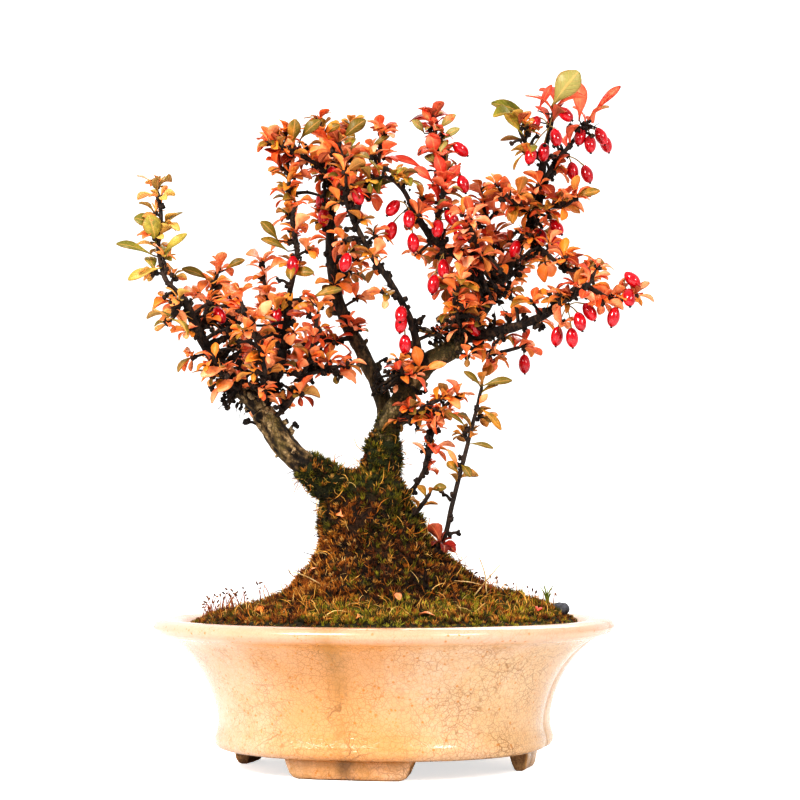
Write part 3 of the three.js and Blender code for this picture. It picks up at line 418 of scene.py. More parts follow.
class SmoothLine:
    """A smooth line through points, read by the share of its length, as the part's source reads it."""

    SAMPLES = 200

    def __init__(self, points):
        self.points = [Vector(point) for point in points]
        places = [self.curve(i / self.SAMPLES) for i in range(self.SAMPLES + 1)]
        self.lengths = [0]
        for before, after in zip(places, places[1:]):
            self.lengths.append(self.lengths[-1] + (after - before).length)
        self.length = self.lengths[-1]

    def curve(self, share):
        points = self.points
        spans = len(points) - 1
        place = min(share * spans, spans - 1e-9)
        first = int(place)
        weight = place - first
        p1, p2 = points[first], points[first + 1]
        p0 = points[first - 1] if first else p1 * 2 - p2
        p3 = points[first + 2] if first + 2 <= spans else p2 * 2 - p1
        gaps = [math.sqrt((b - a).length) for a, b in ((p0, p1), (p1, p2), (p2, p3))]
        leave = (p1 - p0) / gaps[0] - (p2 - p0) / (gaps[0] + gaps[1]) + (p2 - p1) / gaps[1]
        reach = (p2 - p1) / gaps[1] - (p3 - p1) / (gaps[1] + gaps[2]) + (p3 - p2) / gaps[2]
        leave, reach = leave * gaps[1], reach * gaps[1]
        square = -3 * p1 + 3 * p2 - 2 * leave - reach
        cube = 2 * p1 - 2 * p2 + leave + reach
        return p1 + leave * weight + square * weight ** 2 + cube * weight ** 3

    def at(self, share):
        """The point at a share of the line's length."""
        target = min(1, max(0, share)) * self.length
        low, high = 0, self.SAMPLES
        while high - low > 1:
            middle = (low + high) // 2
            if self.lengths[middle] <= target:
                low = middle
            else:
                high = middle
        span = self.lengths[high] - self.lengths[low]
        return self.curve((low + (target - self.lengths[low]) / span) / self.SAMPLES)

    def tangent(self, share):
        step = 0.0005
        return (self.at(min(1, share + step)) - self.at(max(0, share - step))).normalized()

    def frames(self, steps):
        """Middle, tangent, normal and binormal at each step, turning as little as they can."""
        tangent = self.tangent(0)
        normal = tangent.orthogonal().normalized()
        rows = []
        for step in range(steps + 1):
            after = self.tangent(step / steps)
            normal = (tangent.rotation_difference(after) @ normal).normalized()
            tangent = after
            rows.append((self.at(step / steps), tangent, normal, tangent.cross(normal)))
        return rows


def frame_matrix(middle, forward, normal, side, radius):
    """A matrix whose X and Y span a ring of a radius, and whose Z runs forward."""
    columns = Matrix((normal * radius, side * radius, forward)).transposed().to_4x4()
    columns.translation = middle
    return columns


# Building meshes
def to_mesh(bm, name):
    """Turns a finished bmesh into a mesh and frees it."""
    mesh = bpy.data.meshes.new(name)
    bm.to_mesh(mesh)
    bm.free()
    return mesh


def pour(target, part):
    """Adds a finished bmesh to a piece."""
    holder = to_mesh(part, "holder")
    target.from_mesh(holder)
    bpy.data.meshes.remove(holder)


def leafy_bmesh():
    """An empty bmesh for leaves, whose faces carry their place on the blade."""
    bm = bmesh.new()
    bm.loops.layers.uv.new("blade")
    return bm


def set_material(verts, number):
    """Gives the faces round some vertices a material."""
    for vert in verts:
        for face in vert.link_faces:
            face.material_index = number


def pointing(way, place):
    """A matrix at a place whose Z points along a way."""
    matrix = way.to_track_quat("Z", "Y").to_matrix().to_4x4()
    matrix.translation = place
    return matrix


def turn_all(bm, angle):
    """Turns a whole bmesh about the upright axis."""
    bmesh.ops.rotate(bm, cent=(0, 0, 0), matrix=Matrix.Rotation(angle, 3, "Z"), verts=bm.verts)


def draw_outline(bm, outline, closed=False):
    """The vertices and edges of an outline of (radius, height)."""
    verts = [bm.verts.new((radius, 0, height)) for radius, height in outline]
    after = verts[1:] + verts[:1] if closed else verts[1:]
    return verts, [bm.edges.new(pair) for pair in zip(verts, after)]


def spin_outline(bm, geom, segments, merge):
    """Spins an outline about the upright axis and merges its doubled vertices."""
    bmesh.ops.spin(bm, geom=geom, cent=(0, 0, 0), axis=UP, dvec=(0, 0, 0), angle=2 * math.pi,
                   steps=segments, use_merge=True)
    bmesh.ops.remove_doubles(bm, verts=bm.verts, dist=merge)


def paint(mesh, name, values):
    """Writes a number for every vertex of a mesh."""
    attribute = mesh.attributes.get(name) or mesh.attributes.new(name, "FLOAT", "POINT")
    attribute.data.foreach_set("value", values)


def scatter(target, template, matrix, shade):
    """Adds one turned and scaled copy of a template mesh with a shade of its own."""
    copy = template.copy()
    copy.transform(matrix)
    paint(copy, "shade", [shade] * len(copy.vertices))
    target.from_mesh(copy)
    bpy.data.meshes.remove(copy)


def tube(line, radii, sides, spacing, relief=None, material=0, tip=0.35):
    """A closed tube along a line, by extruding a ring; relief(across, along, radius) swells its skin."""
    bm = bmesh.new()
    steps = max(3, round(line.length / spacing))
    rows = line.frames(steps)
    rings = []
    matrix = frame_matrix(*rows[0], radius_at(radii, 0))
    made = bmesh.ops.create_circle(bm, cap_ends=True, radius=1, segments=sides, matrix=matrix)
    rings.append(made["verts"])
    edges = [edge for edge in bm.edges if len(edge.link_faces) == 1]
    for step in range(1, steps + 1):
        radius = radius_at(radii, step / steps) * (tip if step == steps else 1)
        following = frame_matrix(*rows[step], radius)
        made = bmesh.ops.extrude_edge_only(bm, edges=edges)["geom"]
        ring = [item for item in made if isinstance(item, bmesh.types.BMVert)]
        edges = [item for item in made if isinstance(item, bmesh.types.BMEdge)
                 and item.verts[0] in ring and item.verts[1] in ring]
        bmesh.ops.transform(bm, matrix=following @ matrix.inverted(), verts=ring)
        matrix = following
        rings.append(ring)
    bmesh.ops.edgeloop_fill(bm, edges=edges)
    if relief:
        for step, ring in enumerate(rings):
            middle, _, normal, side = rows[step]
            along = line.length * step / steps
            radius = radius_at(radii, step / steps)
            for vert in ring:
                out = (vert.co - middle).normalized()
                vert.co += out * relief(Vector((out.dot(normal), out.dot(side))), along, radius)
    bmesh.ops.recalc_face_normals(bm, faces=bm.faces)
    for face in bm.faces:
        face.material_index = material
    return bm


def finish_piece(bm, name, materials, nodes=(), flat=False):
    """Makes a bmesh in millimetres a finished piece in metres that stands for its nodes."""
    bmesh.ops.scale(bm, vec=(MM, MM, MM), verts=bm.verts)
    mesh = to_mesh(bm, name)
    for material in materials:
        mesh.materials.append(material)
    if not flat:
        mesh.shade_smooth()
    piece = bpy.data.objects.new(name, mesh)
    bpy.context.scene.collection.objects.link(piece)
    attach(piece, "root")
    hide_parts(*nodes)
    return piece


# Shader nodes
def srgb(red, green, blue):
    """A colour of 0 to 255 a channel as the linear colour that a socket takes."""
    channels = []
    for value in (red, green, blue):
        share = value / 255
        channels.append(share / 12.92 if share <= 0.04045 else ((share + 0.055) / 1.055) ** 2.4)
    return (*channels, 1.0)


def feed(tree, made, inputs):
    """Joins or sets a node's inputs."""
    for socket, value in inputs.items():
        if isinstance(value, bpy.types.NodeSocket):
            tree.links.new(value, made.inputs[socket])
        else:
            made.inputs[socket].default_value = value
    return made


def add_node(tree, kind, inputs=None, **settings):
    """Adds a node, sets what it is told, and joins or sets its inputs."""
    made = tree.nodes.new(kind)
    for name, value in settings.items():
        setattr(made, name, value)
    return feed(tree, made, inputs or {})


def new_material(name, roughness=0.5, **constants):
    """A material, its tree and its shader. The constants stand on the shader's own sockets."""
    material = bpy.data.materials.get(name)
    if material:
        bpy.data.materials.remove(material)
    material = bpy.data.materials.new(name)
    material.use_nodes = True
    shader = material.node_tree.nodes["Principled BSDF"]
    shader.inputs["Roughness"].default_value = roughness
    for socket, value in constants.items():
        shader.inputs[socket.replace("_", " ")].default_value = value
    return material, material.node_tree, shader


def new_group(name, inputs, outputs):
    """A shader group with named sockets, given as (label, kind, default) and (label, kind)."""
    group = bpy.data.node_groups.new(name, "ShaderNodeTree")
    for label, kind, default in inputs:
        socket = group.interface.new_socket(label, in_out="INPUT", socket_type=kind)
        socket.default_value = default
    for label, kind in outputs:
        group.interface.new_socket(label, in_out="OUTPUT", socket_type=kind)
    return group, group.nodes.new("NodeGroupInput"), group.nodes.new("NodeGroupOutput")


def use_group(tree, name, inputs):
    return add_node(tree, "ShaderNodeGroup", inputs, node_tree=bpy.data.node_groups[name])


def place_of(tree):
    return add_node(tree, "ShaderNodeTexCoord").outputs["Object"]


def axes_of(tree, vector):
    """The parts X, Y and Z of a vector."""
    return add_node(tree, "ShaderNodeSeparateXYZ", {"Vector": vector}).outputs


def attribute(tree, name):
    return add_node(tree, "ShaderNodeAttribute", attribute_name=name).outputs["Fac"]


def noise_of(tree, place, feature, detail=4.0, roughness=0.55):
    """Noise whose features have a size in metres."""
    made = add_node(tree, "ShaderNodeTexNoise", {
        "Vector": place, "Scale": 1 / feature, "Detail": detail, "Roughness": roughness})
    return made.outputs["Fac"]


def cells_of(tree, place, count):
    """The distance to the nearest of scattered points, of which a metre has a count."""
    return add_node(tree, "ShaderNodeTexVoronoi", {"Vector": place, "Scale": count}).outputs["Distance"]


def blend(tree, factor, first, second, mode="MIX"):
    inputs = {0: factor, 6: first, 7: second}
    return add_node(tree, "ShaderNodeMix", inputs, data_type="RGBA", blend_type=mode).outputs[2]


def math_of(tree, operation, first, second=0.0, clamp=False):
    inputs = {0: first, 1: second}
    return add_node(tree, "ShaderNodeMath", inputs, operation=operation, use_clamp=clamp).outputs[0]


def math_chain(tree, operation, values):
    """Puts any number of values through the same operation, from the first to the last."""
    result = values[0]
    for value in values[1:]:
        result = math_of(tree, operation, result, value)
    return result


def times(tree, *values):
    return math_chain(tree, "MULTIPLY", values)


def plus(tree, *values):
    return math_chain(tree, "ADD", values)


def minus(tree, first, second):
    return math_of(tree, "SUBTRACT", first, second)


def largest(tree, *values):
    return math_chain(tree, "MAXIMUM", values)


def span(tree, value, low, high, start=0.0, end=1.0):
    """The value's place between low and high as start to end, smoothly and kept between them."""
    made = add_node(tree, "ShaderNodeMapRange", {
        "Value": value, "From Min": low, "From Max": high, "To Min": start, "To Max": end},
        interpolation_type="SMOOTHSTEP")
    return made.outputs["Result"]


def ramp(tree, factor, stops):
    made = add_node(tree, "ShaderNodeValToRGB", {"Fac": factor})
    elements = made.color_ramp.elements
    while len(elements) < len(stops):
        elements.new(0.5)
    for element, (position, colour) in zip(elements, stops):
        element.position = position
    for element, (position, colour) in zip(elements, stops):
        element.color = colour
    return made.outputs["Color"]


def bump(tree, shader, height, distance, strength=1.0):
    inputs = {"Height": height, "Distance": distance, "Strength": strength}
    feed(tree, shader, {"Normal": add_node(tree, "ShaderNodeBump", inputs).outputs["Normal"]})


def make_crack_group():
    """A net of fine cracks: the mask is 1 on a crack, and fades in patches to its faintness."""
    group, given, result = new_group("crack_net", [
        ("Cell size", "NodeSocketFloat", 0.003), ("Line width", "NodeSocketFloat", 0.03),
        ("Wander", "NodeSocketFloat", 0.0006), ("Faintness", "NodeSocketFloat", 0.0),
    ], [("Mask", "NodeSocketFloat")])
    given = given.outputs
    place = place_of(group)
    drift = add_node(group, "ShaderNodeTexNoise", {"Vector": place, "Scale": 260.0, "Detail": 2.0})
    centred = add_node(group, "ShaderNodeVectorMath", {
        0: drift.outputs["Color"], 1: (0.5, 0.5, 0.5)}, operation="SUBTRACT")
    scaled = add_node(group, "ShaderNodeVectorMath", {
        0: centred.outputs[0], "Scale": given["Wander"]}, operation="SCALE")
    moved = add_node(group, "ShaderNodeVectorMath", {0: place, 1: scaled.outputs[0]}, operation="ADD")
    cells = add_node(group, "ShaderNodeTexVoronoi", {
        "Vector": moved.outputs[0], "Scale": math_of(group, "DIVIDE", 1.0, given["Cell size"]),
        "Randomness": 1.0}, feature="DISTANCE_TO_EDGE")
    inside = span(group, cells.outputs["Distance"], 0.0, given["Line width"], 1.0, 0.0)
    kept = span(group, noise_of(group, place, 0.02, 3.0), 0.3, 0.7, given["Faintness"], 1.0)
    feed(group, result, {"Mask": times(group, inside, kept)})


def crack_mask(tree, cell, width, wander, faintness):
    return use_group(tree, "crack_net", {
        "Cell size": cell, "Line width": width, "Wander": wander, "Faintness": faintness}).outputs["Mask"]


def make_mottle_group():
    """Two colours mixed in soft patches with finer grain in them, and the grain's height."""
    group, given, result = new_group("mottle", [
        ("Light", "NodeSocketColor", (1, 1, 1, 1)), ("Dark", "NodeSocketColor", (0, 0, 0, 1)),
        ("Patch size", "NodeSocketFloat", 0.01), ("Grain size", "NodeSocketFloat", 0.001),
    ], [("Color", "NodeSocketColor"), ("Height", "NodeSocketFloat")])
    given = given.outputs
    place = place_of(group)
    layers = []
    for size, detail in (("Patch size", 5.0), ("Grain size", 3.0)):
        scale = math_of(group, "DIVIDE", 1.0, given[size])
        layer = add_node(group, "ShaderNodeTexNoise", {"Vector": place, "Scale": scale, "Detail": detail})
        layers.append(layer.outputs["Fac"])
    patch, grain = layers
    both = plus(group, times(group, patch, 0.6), times(group, grain, 0.4))
    colour = blend(group, span(group, both, 0.36, 0.64), given["Dark"], given["Light"])
    feed(group, result, {"Color": colour, "Height": grain})


def use_mottle(tree, light, dark, patch, grain):
    return use_group(tree, "mottle", {
        "Light": light, "Dark": dark, "Patch size": patch, "Grain size": grain}).outputs


def mottled_material(name, roughness, light, dark, patch, grain, relief):
    """A material mottled in two colours, whose grain stands out by its relief."""
    material, tree, shader = new_material(name, roughness)
    mottle = use_mottle(tree, light, dark, patch, grain)
    feed(tree, shader, {"Base Color": mottle["Color"]})
    bump(tree, shader, mottle["Height"], relief)
    return material


# Sizes and colours that a user would change
def colour_setting(name, description, default):
    return FloatVectorProperty(name=name, description=description, subtype="COLOR", size=4, min=0, max=1,
                               default=default)


def length_setting(name, description, default, least, most):
    return FloatProperty(name=name, description=description, unit="LENGTH", default=default, min=least,
                         max=most)


def count_setting(name, description, default, least, most):
    return IntProperty(name=name, description=description, default=default, min=least, max=most)


class PotSettings(PropertyGroup):
    cream: colour_setting("Cream", "The glaze's palest colour", srgb(216, 182, 152))
    peach: colour_setting("Peach", "The warm cloud in the glaze", srgb(210, 153, 99))
    crack: colour_setting("Crack", "Stain in the glaze's cracks", srgb(134, 92, 46))
    cell: length_setting("Crackle cell", "Size of the small cells between cracks", 0.002, 0.001, 0.02)
    long_cell: length_setting("Long cracks", "Distance between the long cracks", 0.013, 0.005, 0.06)


class MossSettings(PropertyGroup):
    shoots: count_setting("Shoots", "How many small shoots cover the moss", 13500, 500, 24000)
    threads: count_setting("Threads", "How many dead threads lie in it", 2600, 0, 5000)
    shoot_height: length_setting("Shoot height", "Height of a usual shoot", 0.0034, 0.001, 0.01)


class TreeSettings(PropertyGroup):
    rosette: count_setting("Leaves a rosette", "Leaves on one short spur", 7, 3, 12)
    spacing: length_setting("Rosette spacing", "Distance between rosettes along a stem", 0.0062, 0.003, 0.02)
    leaf_share: FloatProperty(name="Leaf size", description="Length of the solids' leaves beside theirs",
                              default=0.8, min=0.4, max=1.2, subtype="FACTOR")
    small_leaf: length_setting("Rosette leaf", "Length of a usual leaf in a rosette", 0.0088, 0.004, 0.02)
    knob: length_setting("Spur knob", "Size of the dark knobs on the twigs", 0.0014, 0.0005, 0.004)


class BerrySettings(PropertyGroup):
    length: length_setting("Berry length", "Length of a berry", 0.0099, 0.005, 0.012)
    width: length_setting("Berry width", "Width of a berry", 0.0058, 0.003, 0.008)
    skin: colour_setting("Skin", "The berries' red", srgb(196, 12, 32))


class StageSettings(PropertyGroup):
    floor: colour_setting("Floor", "The pale floor", (0.9, 0.9, 0.9, 1))
    sky: FloatProperty(name="Room light", default=0.6, min=0, max=4,
                       description="Strength of the even light all round, beside the backdrop")


# Pot
def lobe_share(angle, offset):
    """How far out the four-lobed outline is at an angle from a groove, as a share of the widest."""
    part = 2 * math.pi / LOBES
    away = angle % part - part / 2
    return offset * math.cos(away) + math.sqrt((1 - offset) ** 2 - (offset * math.sin(away)) ** 2)


def pot_share(angle, radius, height):
    offset = mix(LOBE_OFFSET, LOBE_OFFSET_LIP, smoothstep(height, *LOBE_FADE))
    return mix(1, lobe_share(angle, offset), smoothstep(radius, *DRAIN_ROUND))


def pot_bowl():
    """The bowl: its closed profile spun about the axis, then pulled in at the four grooves."""
    bm = bmesh.new()
    _, edges = draw_outline(bm, POT_OUTSIDE + POT_INSIDE, closed=True)
    bmesh.ops.subdivide_edges(bm, edges=edges, cuts=1)
    spin_outline(bm, bm.verts[:] + bm.edges[:], POT_SEGMENTS, POT_MERGE)
    for vert in bm.verts:
        radius = math.hypot(vert.co.x, vert.co.y)
        share = pot_share(math.atan2(vert.co.y, vert.co.x), radius, vert.co.z)
        vert.co.x *= share
        vert.co.y *= share
    return bm


def pot_foot(number):
    """One bracket foot: its section extruded across, bevelled, then bent to the pot's outline."""
    bm = bmesh.new()
    corners = [bm.verts.new((radius, -FOOT_HALF, height)) for radius, height in FOOT_PROFILE]
    faces = [bm.faces.new(corners)]
    for _ in range(FOOT_STEPS):
        made = bmesh.ops.extrude_face_region(bm, geom=faces)["geom"]
        faces = [item for item in made if isinstance(item, bmesh.types.BMFace)]
        moved = [item for item in made if isinstance(item, bmesh.types.BMVert)]
        bmesh.ops.translate(bm, vec=(0, 2 * FOOT_HALF / FOOT_STEPS, 0), verts=moved)
    inner = [face for face in bm.faces if abs(face.calc_center_median().y) < FOOT_HALF - FOOT_TOUCH
             and len(face.verts) == len(FOOT_PROFILE)]
    bmesh.ops.delete(bm, geom=inner, context="FACES_ONLY")
    bmesh.ops.recalc_face_normals(bm, faces=bm.faces)
    ends = [edge for edge in bm.edges
            if all(abs(abs(vert.co.y) - FOOT_HALF) < FOOT_TOUCH for vert in edge.verts)]
    bmesh.ops.bevel(bm, geom=ends, offset=FOOT_BEVEL, segments=3, profile=0.5, affect="EDGES", material=-1)
    for vert in bm.verts:
        half_width = table_value(FOOT_HALF_WIDTHS, vert.co.z)
        across = vert.co.y / FOOT_HALF * half_width * FOOT_WIDTH_SHARES[number]
        radius = vert.co.x
        angle = across / radius
        for _ in range(FOOT_BEND_ROUNDS):
            reach = radius * lobe_share(angle, LOBE_OFFSET)
            angle = math.asin(across / reach)
        vert.co.x = math.cos(angle) * reach
        vert.co.y = across
    turn_all(bm, number * math.pi / 2)
    return bm


def glaze_ground(tree, place, axes, groove, settings):
    """Cream glaze with peach clouds, a sallow right side, cells of uneven tint and a rosy lip."""
    clouds = noise_of(tree, place, 0.05, 4.0, 0.6)
    lower = times(tree, span(tree, axes["Z"], 0.05, 0.014, 0.0, 0.17), span(tree, axes["Z"], 0.009, 0.013))
    warm = plus(tree, times(tree, groove, 0.5), lower, clouds)
    colour = blend(tree, span(tree, warm, 0.45, 0.95), settings.cream, settings.peach)
    sallow = times(tree, span(tree, axes["X"], 0.0, 0.045), span(tree, clouds, 0.4, 0.6), 0.6)
    colour = blend(tree, sallow, colour, srgb(206, 178, 134))
    cells = add_node(tree, "ShaderNodeTexVoronoi", {"Vector": place, "Scale": 1 / settings.cell})
    tint = axes_of(tree, cells.outputs["Color"])["X"]
    colour = blend(tree, times(tree, tint, 0.2), colour, srgb(206, 160, 112))
    mottle = noise_of(tree, place, 0.0034, 3.0, 0.6)
    colour = blend(tree, span(tree, mottle, 0.44, 0.66, 0.0, 0.3), colour, srgb(212, 158, 104))
    on_lip = span(tree, axes["Z"], 0.0645, 0.067)
    return blend(tree, times(tree, on_lip, 0.6), colour, srgb(212, 168, 146))


def glaze_lines(tree, axes, groove, on_wall, settings):
    """Three nets of cracks, darkest in the grooves and on the right, and faint on the lip."""
    fine = crack_mask(tree, settings.cell, 0.07, 0.0003, 0.6)
    middle = crack_mask(tree, settings.cell * 2.2, 0.042, 0.0004, 0.3)
    coarse = crack_mask(tree, settings.long_cell, 0.012, 0.001, 0.2)
    lines = largest(tree, times(tree, fine, 0.7), times(tree, middle, 0.85), coarse)
    right = span(tree, axes["X"], 0.0, 0.05, 0.7, 1.0)
    darker = largest(tree, span(tree, groove, 0.4, 1.0, 0.7, 1.0), right)
    return math_of(tree, "MULTIPLY", lines, times(tree, darker, on_wall), clamp=True)


def glaze_specks(tree, place, axes, colour):
    """Rusty specks in patches, freckles mostly on the left, and a few dark pits."""
    speck = times(tree, span(tree, cells_of(tree, place, 260.0), 0.24, 0.1),
                  span(tree, noise_of(tree, place, 0.009, 2.0), 0.42, 0.54), 0.75)
    colour = blend(tree, speck, colour, srgb(186, 118, 40))
    freckle = times(tree, span(tree, cells_of(tree, place, 640.0), 0.34, 0.16),
                    span(tree, noise_of(tree, place, 0.007, 3.0), 0.5, 0.62),
                    span(tree, axes["X"], 0.03, -0.01, 0.2, 0.7))
    colour = blend(tree, freckle, colour, srgb(194, 126, 44))
    pits = span(tree, cells_of(tree, place, 58.0), 0.05, 0.03, 0.0, 0.85)
    return blend(tree, pits, colour, srgb(116, 80, 36))


def glaze_stains(tree, place, axes, groove, on_wall, colour):
    """Adds the stains on the low edge and under the lip, the grooves' stain that is partly painted shade,
    and painted shade high in the grooves; also gives the stains' mask, which holds the grooves' painted
    shade too.
    """
    blotch = noise_of(tree, place, 0.012, 3.0)
    low_edge = times(tree, span(tree, axes["Z"], 0.0125, 0.009), span(tree, blotch, 0.4, 0.6))
    under_lip = times(tree, span(tree, axes["Z"], 0.05, 0.062), span(tree, axes["Z"], 0.0665, 0.064),
                      span(tree, blotch, 0.5, 0.7), 0.6)
    # Partly a real stain, partly painted shade: the grooves darken down their length, as their fold would in
    # shade.
    groove_stain_and_shade = times(tree, span(tree, groove, 0.82, 1.0), span(tree, blotch, 0.3, 0.62, 0.35, 1.0))
    stains = largest(tree, low_edge, under_lip, times(tree, groove_stain_and_shade, 0.8))
    # Painted shade: darker ochre high on the wall in the grooves, where the fold falls in shade.
    painted_groove_shade = times(tree, span(tree, groove, 0.76, 1.0), span(tree, axes["Z"], 0.034, 0.05), on_wall)
    # Partly a real stain, partly painted shade: dark brown where the groove's fold meets the foot.
    foot_stain_and_shade = times(tree, groove_stain_and_shade, span(tree, axes["Z"], 0.012, 0.008))
    colour = blend(tree, times(tree, stains, 0.5), colour, srgb(170, 122, 52))
    colour = blend(tree, times(tree, painted_groove_shade, 0.26), colour, srgb(150, 112, 40))
    colour = blend(tree, times(tree, foot_stain_and_shade, 0.75), colour, srgb(84, 60, 28))
    return colour, stains


def glaze_material(settings):
    """Crackle glaze: its ground, nets of stained cracks, specks, stains that dull it a little, and painted
    shade in its grooves.
    """
    material, tree, shader = new_material("crackle_glaze", 0.24, Coat_Weight=0.35, Coat_Roughness=0.16)
    place = place_of(tree)
    axes = axes_of(tree, place)
    groove = attribute(tree, "groove")
    on_wall = span(tree, axes["Z"], 0.067, 0.063, 0.35, 1.0)
    ground_colour = glaze_ground(tree, place, axes, groove, settings)
    lines = glaze_lines(tree, axes, groove, on_wall, settings)
    colour = blend(tree, lines, ground_colour, settings.crack)
    colour = glaze_specks(tree, place, axes, colour)
    colour, stains = glaze_stains(tree, place, axes, groove, on_wall, colour)
    feed(tree, shader, {"Base Color": colour, "Roughness": span(tree, stains, 0.0, 1.0, 0.2, 0.4)})
    waviness = noise_of(tree, place, 0.012, 2.0)
    bump(tree, shader, minus(tree, waviness, times(tree, lines, 0.3)), 0.0005, 0.5)
    return material


def clay_material():
    """Unglazed clay of the pot's inside and underneath."""
    return mottled_material("bare_clay", 0.85, srgb(196, 158, 116), srgb(122, 88, 60), 0.016, 0.0009, 0.0003)


class BONSAI_OT_pot(Operator):
    """Models the four-lobed pot on its bracket feet and glazes it"""
    bl_idname = "bonsai.pot"
    bl_label = "Pot"

    def execute(self, context):
        bm = pot_bowl()
        for number in range(LOBES):
            pour(bm, pot_foot(number))
        turn_all(bm, POT_TURN)
        bmesh.ops.recalc_face_normals(bm, faces=bm.faces)
        for face in bm.faces:
            middle = face.calc_center_median()
            radius = math.hypot(middle.x, middle.y)
            underneath = radius < FOOT_RING or (middle.z < FOOT_SOLE and face.normal.z < -0.5)
            inside = middle.z < GLAZED_RIM and face.normal.dot(Vector((middle.x, middle.y, 0))) < 0
            face.material_index = 1 if underneath or inside else 0
        grooves = []
        for vert in bm.verts:
            away = (math.atan2(vert.co.y, vert.co.x) - POT_TURN + math.pi / LOBES) % (math.pi / 2)
            grooves.append(1 - min(1, abs(away - math.pi / LOBES) / GROOVE_ANGLE))
        materials = [glaze_material(context.scene.bonsai_pot), clay_material()]
        pot = finish_piece(bm, "glazed_pot", materials, ["pot"])
        paint(pot.data, "groove", grooves)
        return {"FINISHED"}


# Soil and drainage screen
def soil_material():
    """Dark crumbly soil with a few pale grains."""
    material, tree, shader = new_material("potting_soil", 0.95)
    mottle = use_mottle(tree, srgb(94, 66, 44), srgb(34, 22, 14), 0.006, 0.0011)
    grains = cells_of(tree, place_of(tree), 520.0)
    pale = times(tree, span(tree, grains, 0.2, 0.1), 0.4)
    feed(tree, shader, {"Base Color": blend(tree, pale, mottle["Color"], srgb(150, 122, 92))})
    bump(tree, shader, plus(tree, mottle["Height"], grains), 0.001)
    return material


def screen_material():
    """Black plastic mesh, dusty with soil."""
    return mottled_material("drainage_mesh", 0.55, srgb(92, 74, 56), srgb(26, 26, 26), 0.005, 0.0006, 0.0002)


class BONSAI_OT_soil(Operator):
    """Gives the soil and the drainage screen their finish"""
    bl_idname = "bonsai.soil"
    bl_label = "Soil and drainage screen"

    def execute(self, context):
        for name, material in (("soil", soil_material()), ("drainage_screen", screen_material())):
            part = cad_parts[name]
            for slot in part.material_slots:
                slot.material = material
        return {"FINISHED"}


# Moss
MOSS_STOPS = [
    (0.00, srgb(26, 14, 6)), (0.10, srgb(72, 40, 14)), (0.22, srgb(132, 72, 20)),
    (0.34, srgb(190, 118, 36)), (0.44, srgb(228, 172, 84)), (0.50, srgb(240, 206, 146)),
    (0.56, srgb(34, 36, 10)), (0.68, srgb(84, 86, 22)), (0.80, srgb(146, 136, 34)),
    (0.90, srgb(190, 180, 56)), (1.00, srgb(224, 216, 104)),
]


def moss_material():
    """Living and dead moss, by each shoot's shade, with painted shade that darkens each shoot towards its
    root.
    """
    material, tree, shader = new_material("moss_shoots", 0.75)
    grain = noise_of(tree, place_of(tree), 0.0012, 2.0)
    colour = ramp(tree, attribute(tree, "shade"), MOSS_STOPS)
    lit = blend(tree, times(tree, grain, 0.5), colour, srgb(190, 170, 96), "SOFT_LIGHT")
    # Painted shade: each shoot darkens to near black towards its root, standing for the shade in the gaps
    # between shoots.
    root = span(tree, attribute(tree, "tip"), 0.0, 0.7, 0.9, 0.0)
    feed(tree, shader, {"Base Color": blend(tree, root, lit, srgb(12, 7, 3))})
    return material


def peat_and_gap_shade_material():
    """The dark matted bed under the shoots, kept near black partly as painted shade for the gaps between
    them, greener low down and on the collars.
    """
    material, tree, shader = new_material("moss_bed", 1.0)
    place = place_of(tree)
    height = axes_of(tree, place)["Z"]
    # Partly painted shade: the bed's mottle stays near black so the gaps between the shoots look deep.
    mottle = use_mottle(tree, srgb(64, 40, 18), srgb(12, 7, 4), 0.009, 0.0012)
    low = times(tree, span(tree, height, 0.096, 0.078), noise_of(tree, place, 0.02))
    greener = largest(tree, low, span(tree, height, 0.128, 0.142))
    feed(tree, shader, {"Base Color": blend(tree, greener, mottle["Color"], srgb(40, 44, 16))})
    bump(tree, shader, mottle["Height"], 0.0012)
    return material


def hillock_at(x, y):
    away = ((x - HILLOCK["x"]) / HILLOCK["width"]) ** 2 + (y / HILLOCK["depth"]) ** 2
    return HILLOCK["height"] * math.exp(-away)


def bed_place(place):
    """Where a place on the spun outline moves: lobed at the edge, and lumpy and leaned further in."""
    x, y, z = place
    radius = math.hypot(x, y)
    edge = smoothstep(radius, *CARPET_EDGE)
    share = mix(1, lobe_share(math.atan2(y, x) - POT_TURN, MOSS_LOBE_OFFSET), edge)
    if z <= MOSS_UNDER[1] + 1:
        return Vector((x * share, y * share, z))
    lump = noise.fractal(Vector((x, y, z)) / 9, 0.8, 2.1, 3) * 2.1 * (1 - edge)
    lean = MOUND_LEAN * smoothstep(z, *MOUND_LEAN_HEIGHTS)
    out = 1 + lump / max(radius, 6)
    return Vector((x * out * share - lean, y * out * share, z + lump / 2 + hillock_at(x, y)))


def collar_relief(number):
    """Soft lumps round a limb's collar."""
    def swell(across, along, radius):
        return noise.noise(Vector((across.x * 1.6, across.y * 1.6, along / 5 + number * 9))) * 1.3
    return swell


def moss_bed():
    """The mound and carpet, spun about the axis and roughened, with the two collars of the limbs."""
    line = SmoothLine([(radius, 0, height) for radius, height in MOSS_OUTLINE])
    points = [line.at(step / BED_STEPS) for step in range(BED_STEPS + 1)]
    bm = bmesh.new()
    verts, edges = draw_outline(bm, [MOSS_UNDER] + [(point.x, point.z) for point in points])
    spin_outline(bm, verts + edges, MOSS_SEGMENTS, BED_MERGE)
    bmesh.ops.holes_fill(bm, edges=[edge for edge in bm.edges if edge.is_boundary], sides=0)
    bmesh.ops.recalc_face_normals(bm, faces=bm.faces)
    for vert in bm.verts:
        vert.co = bed_place(vert.co)
    for number, name in enumerate(("leftLimb", "rightTrunk")):
        radii, points = WOOD[name]
        count = 4 - number
        thick = [radius + COLLAR_THICKNESS[place + number] for place, radius in enumerate(radii[:count])]
        pour(bm, tube(SmoothLine(points[:count]), thick, 28, 1.6, collar_relief(number), tip=0.9))
    return bm


